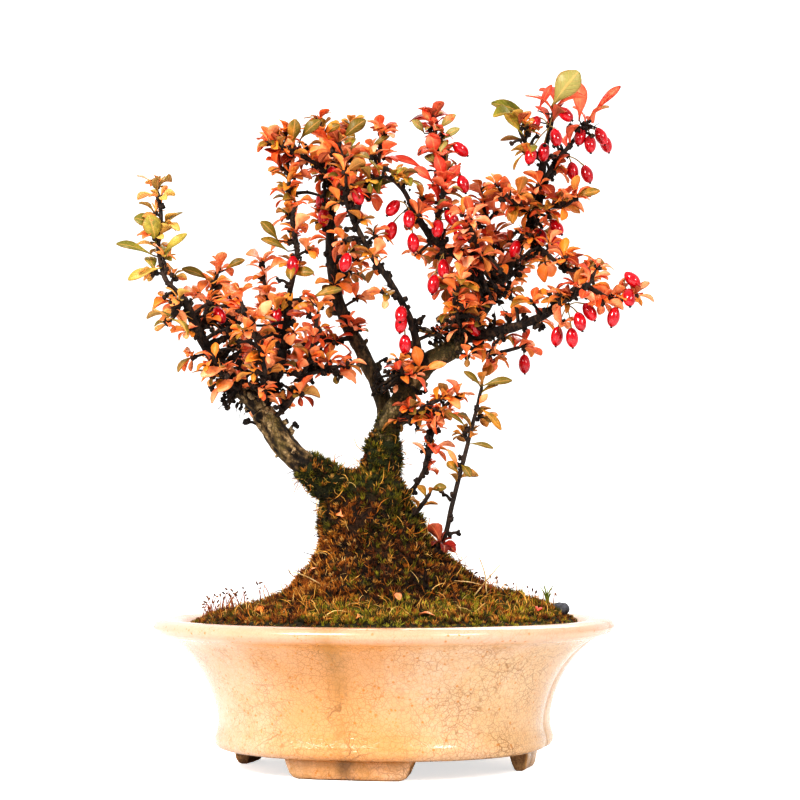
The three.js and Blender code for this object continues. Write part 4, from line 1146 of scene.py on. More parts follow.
def shoot_template(leaflets, width, spread):
    """A tuft of pointed leaflets that lean outwards from one root, one high."""
    bm = bmesh.new()
    for leaflet in range(leaflets):
        tall = 0.6 + 0.4 * draw(leaflet * 2)
        made = bmesh.ops.create_cone(bm, cap_ends=False, segments=3, radius1=width, radius2=0,
                                     depth=tall, matrix=Matrix.Translation((0, 0, tall / 2)))
        lean = Matrix.Rotation(spread * (0.25 + 0.75 * draw(leaflet * 3.1)), 3, "X")
        turn = Matrix.Rotation(leaflet * GOLDEN_ANGLE, 3, "Z")
        bmesh.ops.rotate(bm, cent=(0, 0, 0), matrix=turn @ lean, verts=made["verts"])
    bmesh.ops.remove_doubles(bm, verts=bm.verts, dist=1e-5)
    template = to_mesh(bm, "shoot")
    top = max(vertex.co.z for vertex in template.vertices)
    # The tip runs from 0 at the root to 1 at the top; the moss material paints shade by it.
    paint(template, "tip", [max(0, vertex.co.z / top) for vertex in template.vertices])
    return template


def thread_template(bend):
    """A thin dead thread one long, bent over."""
    line = SmoothLine([(0, 0, 0), (0.1, 0, 0.3), (0.1 + bend * 0.4, 0.05, 0.6), (0.1 + bend, -0.05, 0.72)])
    template = to_mesh(tube(line, [0.03, 0.026, 0.014], 3, line.length / 4, tip=0.3), "thread")
    paint(template, "tip", [1] * len(template.vertices))
    return template


# What grows where: up to each chance, shades between a low and a high one
MOSS_MIXES = {
    "collar": [(0.30, 0.56, 0.64), (0.78, 0.64, 0.80), (0.90, 0.04, 0.22), (1.0, 0.36, 0.46)],
    "gold": [(0.16, 0.02, 0.12), (0.42, 0.18, 0.28), (0.86, 0.27, 0.40), (1.0, 0.40, 0.50)],
    "mound": [
        (0.30, 0.00, 0.12), (0.60, 0.10, 0.26), (0.76, 0.28, 0.46), (0.90, 0.60, 0.74), (1.0, 0.76, 0.86)],
    "rust": [(0.20, 0.02, 0.12), (0.52, 0.14, 0.30), (0.70, 0.32, 0.48), (1.0, 0.60, 0.82)],
    "green": [
        (0.14, 0.02, 0.14), (0.30, 0.20, 0.36), (0.44, 0.38, 0.48), (0.80, 0.62, 0.82), (1.0, 0.82, 0.92)],
    "bright": [(0.24, 0.02, 0.16), (0.38, 0.30, 0.46), (0.68, 0.62, 0.80), (1.0, 0.80, 0.96)],
}


def moss_kind(place, drift):
    """Which mix of moss grows at a place: drift is a number about 0 that makes the borders ragged."""
    x, y, z = place
    if z > 134 + drift * 6 or (z > 117 + drift * 8 and (x > -3 or x < -25)):
        return "collar"
    if z > 84 + drift * 8:
        return "gold" if x < -17 - drift * 12 and z < 130 else "mound"
    if y < -44 and -6 < x + drift * 26 < 30 and drift > -0.45:
        return "bright"
    if x < -36 + drift * 20:
        return "rust"
    return "green" if drift > -0.35 else "rust"


def moss_shade(place, chooser):
    """A shoot's shade, drawn from the mix that grows there."""
    drift = noise.noise(place / 10) + 0.5 * noise.noise(place / 4)
    chance = chooser.random()
    for limit, low, high in MOSS_MIXES[moss_kind(place, drift)]:
        if chance <= limit:
            return mix(low, high, chooser.random())
    return high


def moss_sites(bm, count, seed):
    """Places spread evenly over the bed's upper side, each with the way it faces."""
    chooser = random.Random(seed)
    faces = []
    for face in bm.faces:
        lowest = CARPET_LOWEST if face.normal.z > -0.35 else OVERHANG_LOWEST
        if face.calc_center_median().z > lowest:
            faces.append(face)
    areas = [face.calc_area() for face in faces]
    for face in chooser.choices(faces, areas, k=count):
        corners = [vert.co for vert in face.verts]
        weights = [chooser.random() for _ in corners]
        total = sum((corner * weight for corner, weight in zip(corners, weights)), Vector())
        yield total / sum(weights), face.normal.copy(), chooser


def jolt(chooser, reach):
    return Vector([chooser.uniform(-reach, reach) for _ in range(3)])


def any_turn(chooser):
    return chooser.uniform(0, FULL_TURN)


def grown_matrix(place, normal, height, spin, lean):
    """Stands a template up on the surface, turned and leaned."""
    up = (normal * 0.6 + UP * 0.7 + lean).normalized()
    return pointing(up, place) @ Matrix.Rotation(spin, 4, "Z") @ Matrix.Scale(height, 4)


def creeping_moss(patch, shoots, usual):
    """Thins the collars out along the limbs: the further up, the fewer and smaller the shoots."""
    chooser = random.Random(CREEPING_SEED)
    for name, (first, last, count) in CREEPING.items():
        radii, points = WOOD[name]
        line = SmoothLine(points)
        for _ in range(count):
            rise = min(chooser.random(), chooser.random())
            share = mix(first, last, rise)
            out = sideways(line, share, any_turn(chooser))
            place = line.at(share) + out * radius_at(radii, share)
            height = usual * mix(0.9, 0.5, rise) * chooser.uniform(0.7, 1.1)
            lean = jolt(chooser, SHOOT_LEAN)
            matrix = grown_matrix(place - out * 0.4, out, height, any_turn(chooser), lean)
            scatter(patch, chooser.choice(shoots), matrix, moss_shade(place, chooser))


def plant_shoots(bed, patches, shoots, count, usual):
    """Covers the bed with shoots, shorter at the pot's edge, in a patch for the mound, front and back."""
    for place, normal, chooser in moss_sites(bed, count, SHOOT_SEED):
        kind = chooser.choice(shoots)
        height = usual * (0.65 + 0.75 * chooser.random())
        if math.hypot(place.x, place.y) > EDGE_RADIUS:
            height *= EDGE_HEIGHT
        lean = jolt(chooser, SHOOT_LEAN)
        matrix = grown_matrix(place - normal * 0.5, normal, height, any_turn(chooser), lean)
        level = "front" if place.y < 0 else "back"
        patch = patches["mound" if place.z > MOUND_FROM else level]
        scatter(patch, kind, matrix, moss_shade(place, chooser))


def lay_threads(bed, patch, threads, count):
    """Lays dead threads on the bed, most of them pale and some dark."""
    for place, normal, chooser in moss_sites(bed, count, THREAD_SEED):
        if math.hypot(place.x, place.y) > THREAD_RADIUS:
            continue
        sag = 0.5 if place.z > 90 else 0.2
        lean = jolt(chooser, THREAD_LEAN) - UP * sag
        height = chooser.uniform(*THREAD_LENGTHS)
        shade = chooser.uniform(0.3, 0.5) if chooser.random() < 0.7 else chooser.uniform(0.02, 0.24)
        matrix = grown_matrix(place, normal, height, any_turn(chooser), lean)
        scatter(patch, chooser.choice(threads), matrix, shade)


class BONSAI_OT_moss(Operator):
    """Models the moss mound and covers it with shoots and dead threads"""
    bl_idname = "bonsai.moss"
    bl_label = "Moss"

    def execute(self, context):
        settings = context.scene.bonsai_moss
        usual = settings.shoot_height / MM
        bed = moss_bed()
        bed.normal_update()
        ground["tree"] = BVHTree.FromBMesh(bed)
        shoots = [shoot_template(*shape) for shape in SHOOT_SHAPES]
        threads = [thread_template(bend) for bend in THREAD_BENDS]
        patches = {name: bmesh.new() for name in ("mound", "front", "back")}
        litter = bmesh.new()
        plant_shoots(bed, patches, shoots, settings.shoots, usual)
        creeping_moss(patches["mound"], shoots, usual)
        lay_threads(bed, litter, threads, settings.threads)
        finish_piece(bed, "moss_bed", [peat_and_gap_shade_material()], ["moss"])
        shown = moss_material()
        for name, bm in patches.items():
            finish_piece(bm, f"moss_{name}_shoots", [shown], flat=True)
        finish_piece(litter, "moss_threads", [shown], flat=True)
        return {"FINISHED"}


# Wood
def bark_material():
    """Grey-brown fissured bark, darker in its furrows and on the thin twigs."""
    material, tree, shader = new_material("fissured_bark", 0.85)
    place = place_of(tree)
    streaks = add_node(tree, "ShaderNodeMapping", {"Vector": place, "Scale": (1, 1, 0.35)}).outputs["Vector"]
    grain = noise_of(tree, streaks, 0.0022, 6.0, 0.65)
    patch = noise_of(tree, place, 0.014, 3.0)
    worn = plus(tree, times(tree, grain, 0.55), times(tree, attribute(tree, "relief"), 0.45))
    old = ramp(tree, span(tree, worn, 0.2, 0.8), [
        (0.0, srgb(10, 6, 3)), (0.36, srgb(50, 36, 20)), (0.66, srgb(126, 102, 66)),
        (1.0, srgb(196, 168, 128))])
    old = blend(tree, span(tree, patch, 0.5, 0.68, 0.0, 0.7), old, srgb(92, 78, 32))
    on_right = span(tree, axes_of(tree, place)["X"], -0.02, 0.0)
    mossy = times(tree, on_right, span(tree, grain, 0.66, 0.42, 0.35, 0.85))
    old = blend(tree, mossy, old, srgb(74, 64, 26))
    cracks = crack_mask(tree, 0.0021, 0.16, 0.0014, 0.3)
    old = blend(tree, times(tree, cracks, 0.62), old, srgb(26, 18, 10))
    young = ramp(tree, grain, [
        (0.25, srgb(10, 6, 5)), (0.5, srgb(34, 23, 16)), (0.78, srgb(104, 80, 56))])
    feed(tree, shader, {"Base Color": blend(tree, attribute(tree, "age"), young, old)})
    bump(tree, shader, minus(tree, grain, times(tree, cracks, 0.4)), 0.0008)
    return material


def knob_template():
    """A small dark bud with an uneven blunt point."""
    bm = bmesh.new()
    bmesh.ops.create_icosphere(bm, subdivisions=1, radius=1)
    for vert in bm.verts:
        vert.co *= 1 + 0.55 * noise.noise(vert.co * 1.3 + Vector((3, 1, 7)))
        vert.co.z *= 1.5 if vert.co.z > 0 else 0.9
    return to_mesh(bm, "knob")


def add_knobs(target, template, place, size, seed, count=4, material=0):
    """A cluster of dark buds round a place."""
    for knob in range(count):
        number = seed + knob
        away = Vector([draw(number + step) - 0.5 for step in (0, 31, 67)])
        turn = Matrix.Rotation(draw(number + 11) * 6, 4, "X") @ Matrix.Rotation(draw(number + 5) * 6, 4, "Z")
        grown = Matrix.Scale(size * (0.5 + 0.65 * draw(number + 97)), 4)
        copy = template.copy()
        copy.transform(Matrix.Translation(place + away * size * 1.7) @ turn @ grown)
        for polygon in copy.polygons:
            polygon.material_index = material
        target.from_mesh(copy)
        bpy.data.meshes.remove(copy)


def add_thorn(target, place, way, length, material=0):
    """One thin straight thorn."""
    made = bmesh.ops.create_cone(target, cap_ends=False, segments=3, radius1=0.28, radius2=0.04,
                                 depth=length, matrix=pointing(way, place + way * length / 2))
    set_material(made["verts"], material)


def sideways(line, share, turn):
    """The way straight out of a line at a share of its length, turned about it."""
    tangent = line.tangent(share)
    out = tangent.orthogonal().normalized()
    out.rotate(Matrix.Rotation(turn, 3, tangent))
    return out


def crowd_spurs(target, knob, line, radii, shares, spacing, size, seed, material=0):
    """Crowds a limb or stem with clusters of dark knobs, short dead spurs and thorns."""
    first, last = shares
    for step in range(int(line.length * (last - first) / spacing)):
        number = seed + step * 13
        share = min(1, first + (step + draw(number)) * spacing / line.length)
        out = sideways(line, share, draw(number + 9) * 2 * math.pi)
        place = line.at(share) + out * (radius_at(radii, share) + size * 0.3)
        add_knobs(target, knob, place, size, number, 2 + int(4 * draw(number + 3)), material)
        if draw(number + 21) < 0.28:
            tip = place + (out + UP * 0.4).normalized() * mix(3, 6.5, draw(number + 23))
            bend = place.lerp(tip, 0.5) + line.tangent(share) * 0.8
            pour(target, tube(SmoothLine([place, bend, tip]), [0.95, 0.75, 0.8], 5, 1.5, material=material))
            add_knobs(target, knob, tip, size * 0.95, number + 40, 4, material)
        if draw(number + 27) < 0.3:
            add_thorn(target, place, (out + line.tangent(share) * 0.5).normalized(),
                      mix(3.5, 6.5, draw(number + 29)), material)


def add_thickets(target, knob, size):
    """Tangles of short dead spurs in the heart of the foliage, each grown from the nearest wood."""
    carriers = carrier_samples()
    for number, (middle, spread, count) in enumerate(THICKETS):
        for spur in range(count):
            seed = THICKET_SEED + number * 300 + spur * 11
            away = Vector([(2 * draw(seed + axis) - 1) * spread[axis] for axis in range(3)])
            tip = Vector(middle) + away
            root = min(carriers, key=lambda carrier: (carrier[0] - tip).length)[0]
            if (tip - root).length > SPUR_LONGEST:
                tip = root + (tip - root).normalized() * SPUR_LONGEST
            bend = root.lerp(tip, 0.5) + Vector((2 * draw(seed + 4) - 1, 2 * draw(seed + 5) - 1, 1.4))
            pour(target, tube(SmoothLine([root, bend, tip]), SPUR_RADII, 5, 2))
            add_knobs(target, knob, tip, size * 0.8, seed + 6, 3)
            add_knobs(target, knob, bend, size * 0.75, seed + 8, 2)
            aside = Vector([2 * draw(seed + axis + 20) - 1 for axis in range(3)])
            way = ((tip - root).normalized() + aside).normalized()
            add_thorn(target, tip, way, mix(*SPUR_TWIG_LENGTHS, draw(seed + 24)))


def bark_relief(seed):
    """Plates and furrows that run along a limb, as deep as the limb is thick."""
    def swell(across, along, radius):
        depth = min(1.4, radius * 0.17)
        around = across * radius / 2.6
        spot = Vector((around.x, around.y, along / 6 + seed))
        plates = noise.ridged_multi_fractal(spot, 0.9, 2.0, 3, 1.0, 2.0)
        lumps = noise.noise(Vector((across.x, across.y, along / 9 + seed)))
        return depth * (plates * 0.6 - 0.8) + lumps * radius * 0.14
    return swell


def age_and_relief(bm, cores):
    """For every vertex: 1 on thick limbs and 0 on twigs and spurs, and how far it stands out of the limb."""
    nearest = KDTree(len(cores))
    for number, (place, _) in enumerate(cores):
        nearest.insert(place, number)
    nearest.balance()
    ages, reliefs = [], []
    for vert in bm.verts:
        _, number, distance = nearest.find(vert.co)
        radius = cores[number][1]
        ages.append(smoothstep(radius, *TWIG_TO_LIMB) * smoothstep(radius + 1.2 - distance, -0.8, 0))
        reliefs.append(min(1, max(0, 0.6 + (distance - radius) * 0.7)))
    return ages, reliefs


class BONSAI_OT_wood(Operator):
    """Models the trunk and limbs with their bark and dark spurs"""
    bl_idname = "bonsai.wood"
    bl_label = "Trunk and limbs"

    def execute(self, context):
        size = context.scene.bonsai_tree.knob / MM
        bm = bmesh.new()
        knob = knob_template()
        cores = []
        for number, (name, (radii, points)) in enumerate(WOOD.items()):
            line = SmoothLine(points)
            sides = 40 if radii[0] > TRUNK_RADIUS else 20
            pour(bm, tube(line, radii, sides, BARK_SPACING, bark_relief(number * 17), tip=0.6))
            if name in SPUR_CROWDS:
                crowd_spurs(bm, knob, line, radii, SPUR_CROWDS[name], LIMB_SPUR_SPACING, size, number * 400)
            cores += samples_of(line, radii, CORE_STEPS)
        add_thickets(bm, knob, size)
        ages, reliefs = age_and_relief(bm, cores)
        wood = finish_piece(bm, "bark_of_trunk_and_limbs", [bark_material()], ["trunk_and_limbs"])
        paint(wood.data, "age", ages)
        paint(wood.data, "relief", reliefs)
        return {"FINISHED"}


# Leaves
LEAF_STEPS = 6
LARGE_LEAF_STEPS = 12
LEAF_TIP_CROWDING = 1.75
LEAF_THICKNESS = 0.03
LEAF_WIDTHS = [(0, 0.016), (0.11, 0.02), (0.22, 0.045), (0.33, 0.1), (0.44, 0.165), (0.56, 0.222),
               (0.67, 0.25), (0.78, 0.245), (0.89, 0.19), (1, 0.05)]
# How cupped, drooping and twisted each kind of leaf is
LEAF_SHAPES = {
    "cupped": (0.5, 0.05, 0.0), "arched": (0.25, 0.22, 0.3), "flat": (0.15, -0.04, -0.25),
    "curled": (0.7, 0.16, -0.5),
}
# The colours of each tone from its lowest shade to its highest
TONES = {
    "orange": [srgb(118, 100, 34), srgb(216, 142, 46), srgb(250, 136, 54),
               srgb(254, 174, 126), srgb(238, 98, 38), srgb(140, 46, 18)],
    "coral": [srgb(190, 124, 46), srgb(248, 140, 64), srgb(254, 188, 152),
              srgb(250, 134, 90), srgb(228, 80, 42), srgb(148, 42, 24)],
    "gold": [srgb(120, 114, 46), srgb(180, 158, 68), srgb(218, 178, 100),
             srgb(236, 170, 92), srgb(244, 146, 90), srgb(184, 80, 30)],
    "olive": [srgb(84, 84, 24), srgb(138, 130, 42), srgb(178, 160, 64),
              srgb(218, 156, 60), srgb(236, 124, 54), srgb(140, 52, 22)],
    "red": [srgb(158, 146, 84), srgb(216, 64, 46), srgb(232, 98, 74),
            srgb(244, 132, 94), srgb(176, 38, 26), srgb(104, 22, 16)],
}


def leaf_template(name, cup, droop, twist, steps=LEAF_STEPS):
    """A spoon-shaped leaf one long on its thin stalk, with a fold along its midrib and its own curl."""
    bm = leafy_bmesh()
    bmesh.ops.create_grid(bm, x_segments=steps, y_segments=2, size=0.5, calc_uvs=True)
    for vert in bm.verts:
        along = 1 - (0.5 - vert.co.x) ** LEAF_TIP_CROWDING if vert.co.x < 0.4999 else 1
        across = vert.co.y * 2
        half = table_value(LEAF_WIDTHS, along)
        side = across * half
        lift = cup * abs(across) * half + 0.12 * math.sin(math.pi * along) - droop * along ** 2
        turn = twist * along
        vert.co = Vector((along, side * math.cos(turn), lift + side * math.sin(turn)))
    bmesh.ops.recalc_face_normals(bm, faces=bm.faces)
    if sum(face.normal.z for face in bm.faces) < 0:
        bmesh.ops.reverse_faces(bm, faces=bm.faces)
    bmesh.ops.solidify(bm, geom=bm.faces[:], thickness=LEAF_THICKNESS)
    bmesh.ops.recalc_face_normals(bm, faces=bm.faces)
    for face in bm.faces:
        face.material_index = 1 if face.normal.z < -0.3 else 0
    return to_mesh(bm, name)


def leaf_material(tone, side, gloss, paler):
    """One side of a tone's leaves, with its midrib, veins, darker rim and a few brown spots."""
    material, tree, shader = new_material(f"leaf_{tone}_{side}", gloss, Specular_IOR_Level=0.35)
    place = place_of(tree)
    blade = axes_of(tree, add_node(tree, "ShaderNodeUVMap", uv_map="blade").outputs["UV"])
    patch = times(tree, minus(tree, noise_of(tree, place, 0.006, 3.0), 0.5), 0.5)
    shade = math_of(tree, "ADD", attribute(tree, "shade"), patch, clamp=True)
    colour = ramp(tree, shade, [(0.08 + 0.17 * step, shown) for step, shown in enumerate(TONES[tone])])
    centre = math_of(tree, "ABSOLUTE", minus(tree, blade["Y"], 0.5))
    midrib = span(tree, centre, 0.06, 0.015)
    colour = blend(tree, times(tree, midrib, 0.4), colour, srgb(244, 168, 104))
    branches = math_of(tree, "SINE", plus(tree, times(tree, blade["X"], 52.0), times(tree, centre, -26.0)))
    vein = times(tree, span(tree, branches, 0.82, 1.0), span(tree, blade["X"], 0.2, 0.4))
    colour = blend(tree, times(tree, vein, 0.16), colour, srgb(246, 178, 120))
    rim = times(tree, span(tree, centre, 0.4, 0.5), span(tree, blade["X"], 0.25, 0.5), 0.35)
    colour = blend(tree, rim, colour, srgb(150, 34, 20))
    spots = span(tree, noise_of(tree, place, 0.0017, 2.0), 0.7, 0.76)
    colour = blend(tree, times(tree, spots, 0.5), colour, srgb(96, 40, 18))
    if paler:
        colour = blend(tree, paler, colour, srgb(250, 168, 118))
    feed(tree, shader, {"Base Color": colour})
    height = minus(tree, noise_of(tree, place, 0.0024, 2.0), times(tree, vein, 0.5))
    bump(tree, shader, height, 0.0003, 0.7)
    return material


def leaf_materials(tone):
    """The glossy upper side and the pale matt underside of one tone's leaves."""
    return [leaf_material(tone, "face", 0.42, 0.0), leaf_material(tone, "underside", 0.66, 0.22)]


def leaf_sites(name, number):
    """The leaves that the part's source draws on a spray: root, ways along and across, and length."""
    leaves, size, _, routes = SPRAYS[name]
    shares = [leaves] if len(routes) == 1 else [math.ceil(leaves * 0.65), math.floor(leaves * 0.35)]
    for route, points in enumerate(routes):
        line = SmoothLine(points)
        rosettes = math.ceil(shares[route] / ROSETTE_LEAVES)
        for leaf in range(shares[route]):
            seed = number * 1000 + route * 500 + leaf * 3
            inside = ROSETTE_LEAVES - 1 - leaf % ROSETTE_LEAVES
            along = (ROSETTE_FIRST + (1 - ROSETTE_FIRST) * (leaf // ROSETTE_LEAVES + 1) / rosettes
                     - inside * ROSETTE_PITCH / line.length)
            tangent = line.tangent(along)
            aside = UP if abs(tangent.z) < 0.9 else Vector((1, 0, 0))
            outward = tangent.cross(aside).normalized()
            outward.rotate(Matrix.Rotation(leaf * GOLDEN_ANGLE + number, 3, tangent))
            way = (outward + tangent * (0.25 + 0.6 * draw(seed + 2)) + UP * 0.25).normalized()
            side = UP.cross(way).normalized()
            side.rotate(Matrix.Rotation((draw(seed + 3) - 0.5) * 1.5, 3, way))
            root = line.at(along) + outward * (radius_at(STEM_RADII, along) - LEAF_SUNK)
            yield seed, root, way, side, size * (0.95 + 0.35 * draw(seed + 1))


def leaf_matrix(root, way, side, length, width=1.0):
    normal = way.cross(side)
    matrix = Matrix((way * length, side * length * width, normal * length)).transposed().to_4x4()
    matrix.translation = root
    return matrix


def rosette_leaf(axis, leaf, seed):
    """The ways along and across one leaf of a rosette."""
    outward = axis.orthogonal().normalized()
    outward.rotate(Matrix.Rotation(leaf * GOLDEN_ANGLE + draw(seed + 3) * 6, 3, axis))
    way = outward + axis * (0.1 + 0.9 * draw(seed + leaf + 4)) + UP * 0.15
    way = Vector((way.x, way.y, way.z * 0.65)).normalized()
    flat = way.cross(UP + outward * 0.2)
    side = -flat.normalized() if flat.length > 0.05 else axis
    side.rotate(Matrix.Rotation((draw(seed + leaf + 50) - 0.5) * 1.2, 3, way))
    return way, side


def add_rosette(target, kit, start, axis, reach, habit, seed):
    """A short spur with dark knobs and a rosette of small leaves at its end."""
    density, low, high = habit
    if draw(seed + 8) > density:
        return
    end = start + axis * reach
    if reach > SPUR_SHORTEST:
        spur = SmoothLine([start, start.lerp(end, 0.5) + UP * 0.4, end])
        pour(target, tube(spur, ROSETTE_SPUR_RADII, 5, 2, material=TWIG))
    add_knobs(target, kit.knob, end, kit.settings.knob / MM, seed, 4, material=TWIG)
    for leaf in range(kit.settings.rosette - 1 + int(3 * draw(seed + 2))):
        way, side = rosette_leaf(axis, leaf, seed)
        length = kit.settings.small_leaf / MM * (0.62 + 0.75 * draw(seed + leaf + 70) ** 1.6)
        matrix = leaf_matrix(end, way, side, length, 0.85 + 0.4 * draw(seed + leaf + 90))
        shade = mix(low, high, draw(seed + leaf + 7))
        scatter(target, kit.leaves[(seed + leaf) % len(kit.leaves)], matrix, shade)


def leaf_carrier(root, carriers):
    """The wood that a leaf grows from: the nearest one from the front, where depth counts for less."""
    def reach(carrier):
        away = carrier[0] - root
        return math.hypot(away.x, away.z) + DEPTH_WEIGHT * abs(away.y) - carrier[1]
    return min(carriers, key=reach)


def add_large_leaves(target, kit, leaves):
    """Single leaves turned to the front, from given roots to tips, each set in depth beside its wood."""
    for root, tip, breadth, shade in leaves:
        root, tip = Vector(root), Vector(tip)
        foot, radius = leaf_carrier(root, kit.carriers)
        shift = Vector((0, foot.y - radius - root.y, 0))
        root, tip = root + shift, tip + shift
        way = (tip - root).normalized()
        side = Vector((0.15, -1, 0.35)).cross(way).normalized()
        scatter(target, kit.large, leaf_matrix(root, way, side, (tip - root).length, breadth), shade)
        bend = foot.lerp(root, 0.5) - UP * 0.3
        stalk = SmoothLine([foot, bend, root + way * 0.6])
        pour(target, tube(stalk, LEAF_STALK_RADII, 5, 1, material=TWIG, tip=1))


def stem_rosettes(target, kit, line, habit, number, route):
    """Rosettes along a stem, the last one at its end."""
    count = max(3, round(line.length * MM / kit.settings.spacing * max(1, habit[0])))
    for rosette in range(count):
        seed = number * 2000 + route * 900 + rosette * 41
        last = rosette == count - 1
        place = (rosette + 0.35 * draw(seed)) / (count - 0.65)
        share = 1.0 if last else min(ROSETTE_HIGHEST, mix(ROSETTE_LOWEST, 1.0, place))
        out = sideways(line, share, rosette * GOLDEN_ANGLE + number)
        tangent = line.tangent(share)
        axis = tangent if last else (out + tangent * 0.4 + UP * 0.25).normalized()
        reach = 1.0 if last else mix(*ROSETTE_REACH, draw(seed + 1))
        add_rosette(target, kit, line.at(share), axis, reach, habit, seed)


def spray_piece(name, number, kit):
    """One leafy stem: the solid's own leaves, the stem with its spurs, rosettes, and single leaves."""
    tone, routes = SPRAYS[name][2:]
    habit = HABITS.get(name, USUAL_HABIT)
    spacing = STEM_SPUR_SPACING if habit[0] > BARE_STEM else BARE_STEM_SPUR_SPACING
    size = kit.settings.knob / MM * STEM_KNOB
    bm = leafy_bmesh()
    for seed, root, way, side, length in leaf_sites(name, number):
        matrix = leaf_matrix(root - way, way, side, length * kit.settings.leaf_share, 0.9)
        scatter(bm, kit.leaves[seed % len(kit.leaves)], matrix, mix(*habit[1:], draw(seed + 7)))
    for route, points in enumerate(routes):
        line = SmoothLine(points)
        seed = number * 700 + route * 90
        pour(bm, tube(line, STEM_RADII, 8, 2.2, bark_relief(number * 31 + route), material=TWIG))
        crowd_spurs(bm, kit.knob, line, STEM_RADII, STEM_SPUR_SHARES, spacing, size, seed, TWIG)
        stem_rosettes(bm, kit, line, habit, number, route)
    add_large_leaves(bm, kit, LARGE_LEAVES.get(name, []))
    shown = kit.materials[tone] + [kit.twig]
    finish_piece(bm, f"leafy_stem_{name}", shown, [f"spray_{name}"])


def limb_rosettes(kit):
    """Rosettes that grow on short spurs straight from the limbs."""
    bm = leafy_bmesh()
    for number, (name, (first, last)) in enumerate(LIMB_LEAVES.items()):
        radii, points = WOOD[name]
        habit = HABITS.get(name, LIMB_HABIT)
        line = SmoothLine(points)
        count = round(line.length * (last - first) * MM / kit.settings.spacing)
        for rosette in range(count):
            seed = LIMB_SEED + number * 1000 + rosette * 37
            share = mix(first, last, (rosette + draw(seed)) / count)
            axis = (sideways(line, share, rosette * GOLDEN_ANGLE + number) + UP * 0.3).normalized()
            reach = radius_at(radii, share) + mix(*LIMB_ROSETTE_REACH, draw(seed + 1))
            add_rosette(bm, kit, line.at(share), axis, reach, habit, seed)
    finish_piece(bm, "rosettes_on_the_limbs", kit.materials["orange"] + [kit.twig])


def twig_material():
    """Near-black knobby twig bark."""
    return mottled_material("twig_bark", 0.8, srgb(68, 50, 38), srgb(18, 12, 9), 0.004, 0.0008, 0.0005)


class BONSAI_OT_leafy_stems(Operator):
    """Models every leafy stem with its spurs, knobs and rosettes of leaves"""
    bl_idname = "bonsai.leafy_stems"
    bl_label = "Leafy stems"

    def execute(self, context):
        kit = SimpleNamespace(
            settings=context.scene.bonsai_tree,
            leaves=[leaf_template(f"leaf_{name}", *shape) for name, shape in LEAF_SHAPES.items()],
            large=leaf_template("leaf_large", 0.3, 0.06, 0.2, LARGE_LEAF_STEPS),
            knob=knob_template(),
            materials={tone: leaf_materials(tone) for tone in TONES},
            twig=twig_material(),
            carriers=carrier_samples())
        for number, name in enumerate(SPRAYS):
            spray_piece(name, number, kit)
        limb_rosettes(kit)
        return {"FINISHED"}


# Berries
BLOOM = 0.14
STALK_RADII = [0.36, 0.3, 0.42]
STALK_GAP = 1.3


def skin_material(settings):
    """Glossy red skin with a paler bloom."""
    material, tree, shader = new_material("berry_skin", 0.2, Coat_Weight=0.5, Coat_Roughness=0.08)
    place = place_of(tree)
    patch = span(tree, noise_of(tree, place, 0.005, 2.0), 0.35, 0.7)
    colour = blend(tree, patch, settings.skin, srgb(154, 8, 24))
    bloom = span(tree, noise_of(tree, place, 0.0009, 3.0), 0.45, 0.75, 0.0, BLOOM)
    colour = blend(tree, bloom, colour, srgb(240, 92, 92))
    feed(tree, shader, {"Base Color": colour, "Roughness": span(tree, bloom, 0.0, BLOOM, 0.16, 0.3)})
    bump(tree, shader, noise_of(tree, place, 0.0016, 1.0), 0.0001, 0.5)
    return material


def berry_materials(settings):
    """The skin, the dark remains of the flower, and the thin stalk."""
    dry = (0.003, 0.0005, 0.0002)
    return [skin_material(settings),
            mottled_material("berry_calyx", 0.7, srgb(70, 40, 26), srgb(22, 12, 10), *dry),
            mottled_material("berry_stalk", 0.7, srgb(176, 148, 84), srgb(112, 84, 44), *dry)]


def berry_template(settings):
    """One berry that hangs along Z, with the flower's remains at its lower end."""
    bm = bmesh.new()
    length, width = settings.length / MM, settings.width / MM
    bmesh.ops.create_uvsphere(bm, u_segments=20, v_segments=14, radius=0.5)
    for vert in bm.verts:
        share = vert.co.z * 2
        fuller = 1 + 0.05 * (1 - share * share) - 0.03 * share
        vert.co = Vector((vert.co.x * width * fuller, vert.co.y * width * fuller, vert.co.z * length))
    made = bmesh.ops.create_cone(bm, cap_ends=True, segments=8, radius1=0.75, radius2=0.35, depth=0.7,
                                 matrix=Matrix.Translation((0, 0, -length / 2 - 0.1)))
    set_material(made["verts"], 1)
    return to_mesh(bm, "berry")


def nearest_surface(point, carriers):
    """The spot beside the wood that a bunch hangs from."""
    middle, radius = min(carriers, key=lambda carrier: (carrier[0] - point).length - carrier[1])
    return middle + (point - middle).normalized() * (radius + STALK_GAP)


def samples_of(line, radii, steps):
    """Places along a line, each with its radius."""
    return [(line.at(step / steps), radius_at(radii, step / steps)) for step in range(steps + 1)]


def carrier_samples():
    """Places along all the limbs and stems, from which a leaf, spur or bunch can grow."""
    lines = [(SmoothLine(points), radii) for radii, points in WOOD.values()]
    lines += [(SmoothLine(points), STEM_RADII) for _, _, _, routes in SPRAYS.values() for points in routes]
    return [sample for line, radii in lines for sample in samples_of(line, radii, CARRIER_STEPS)]


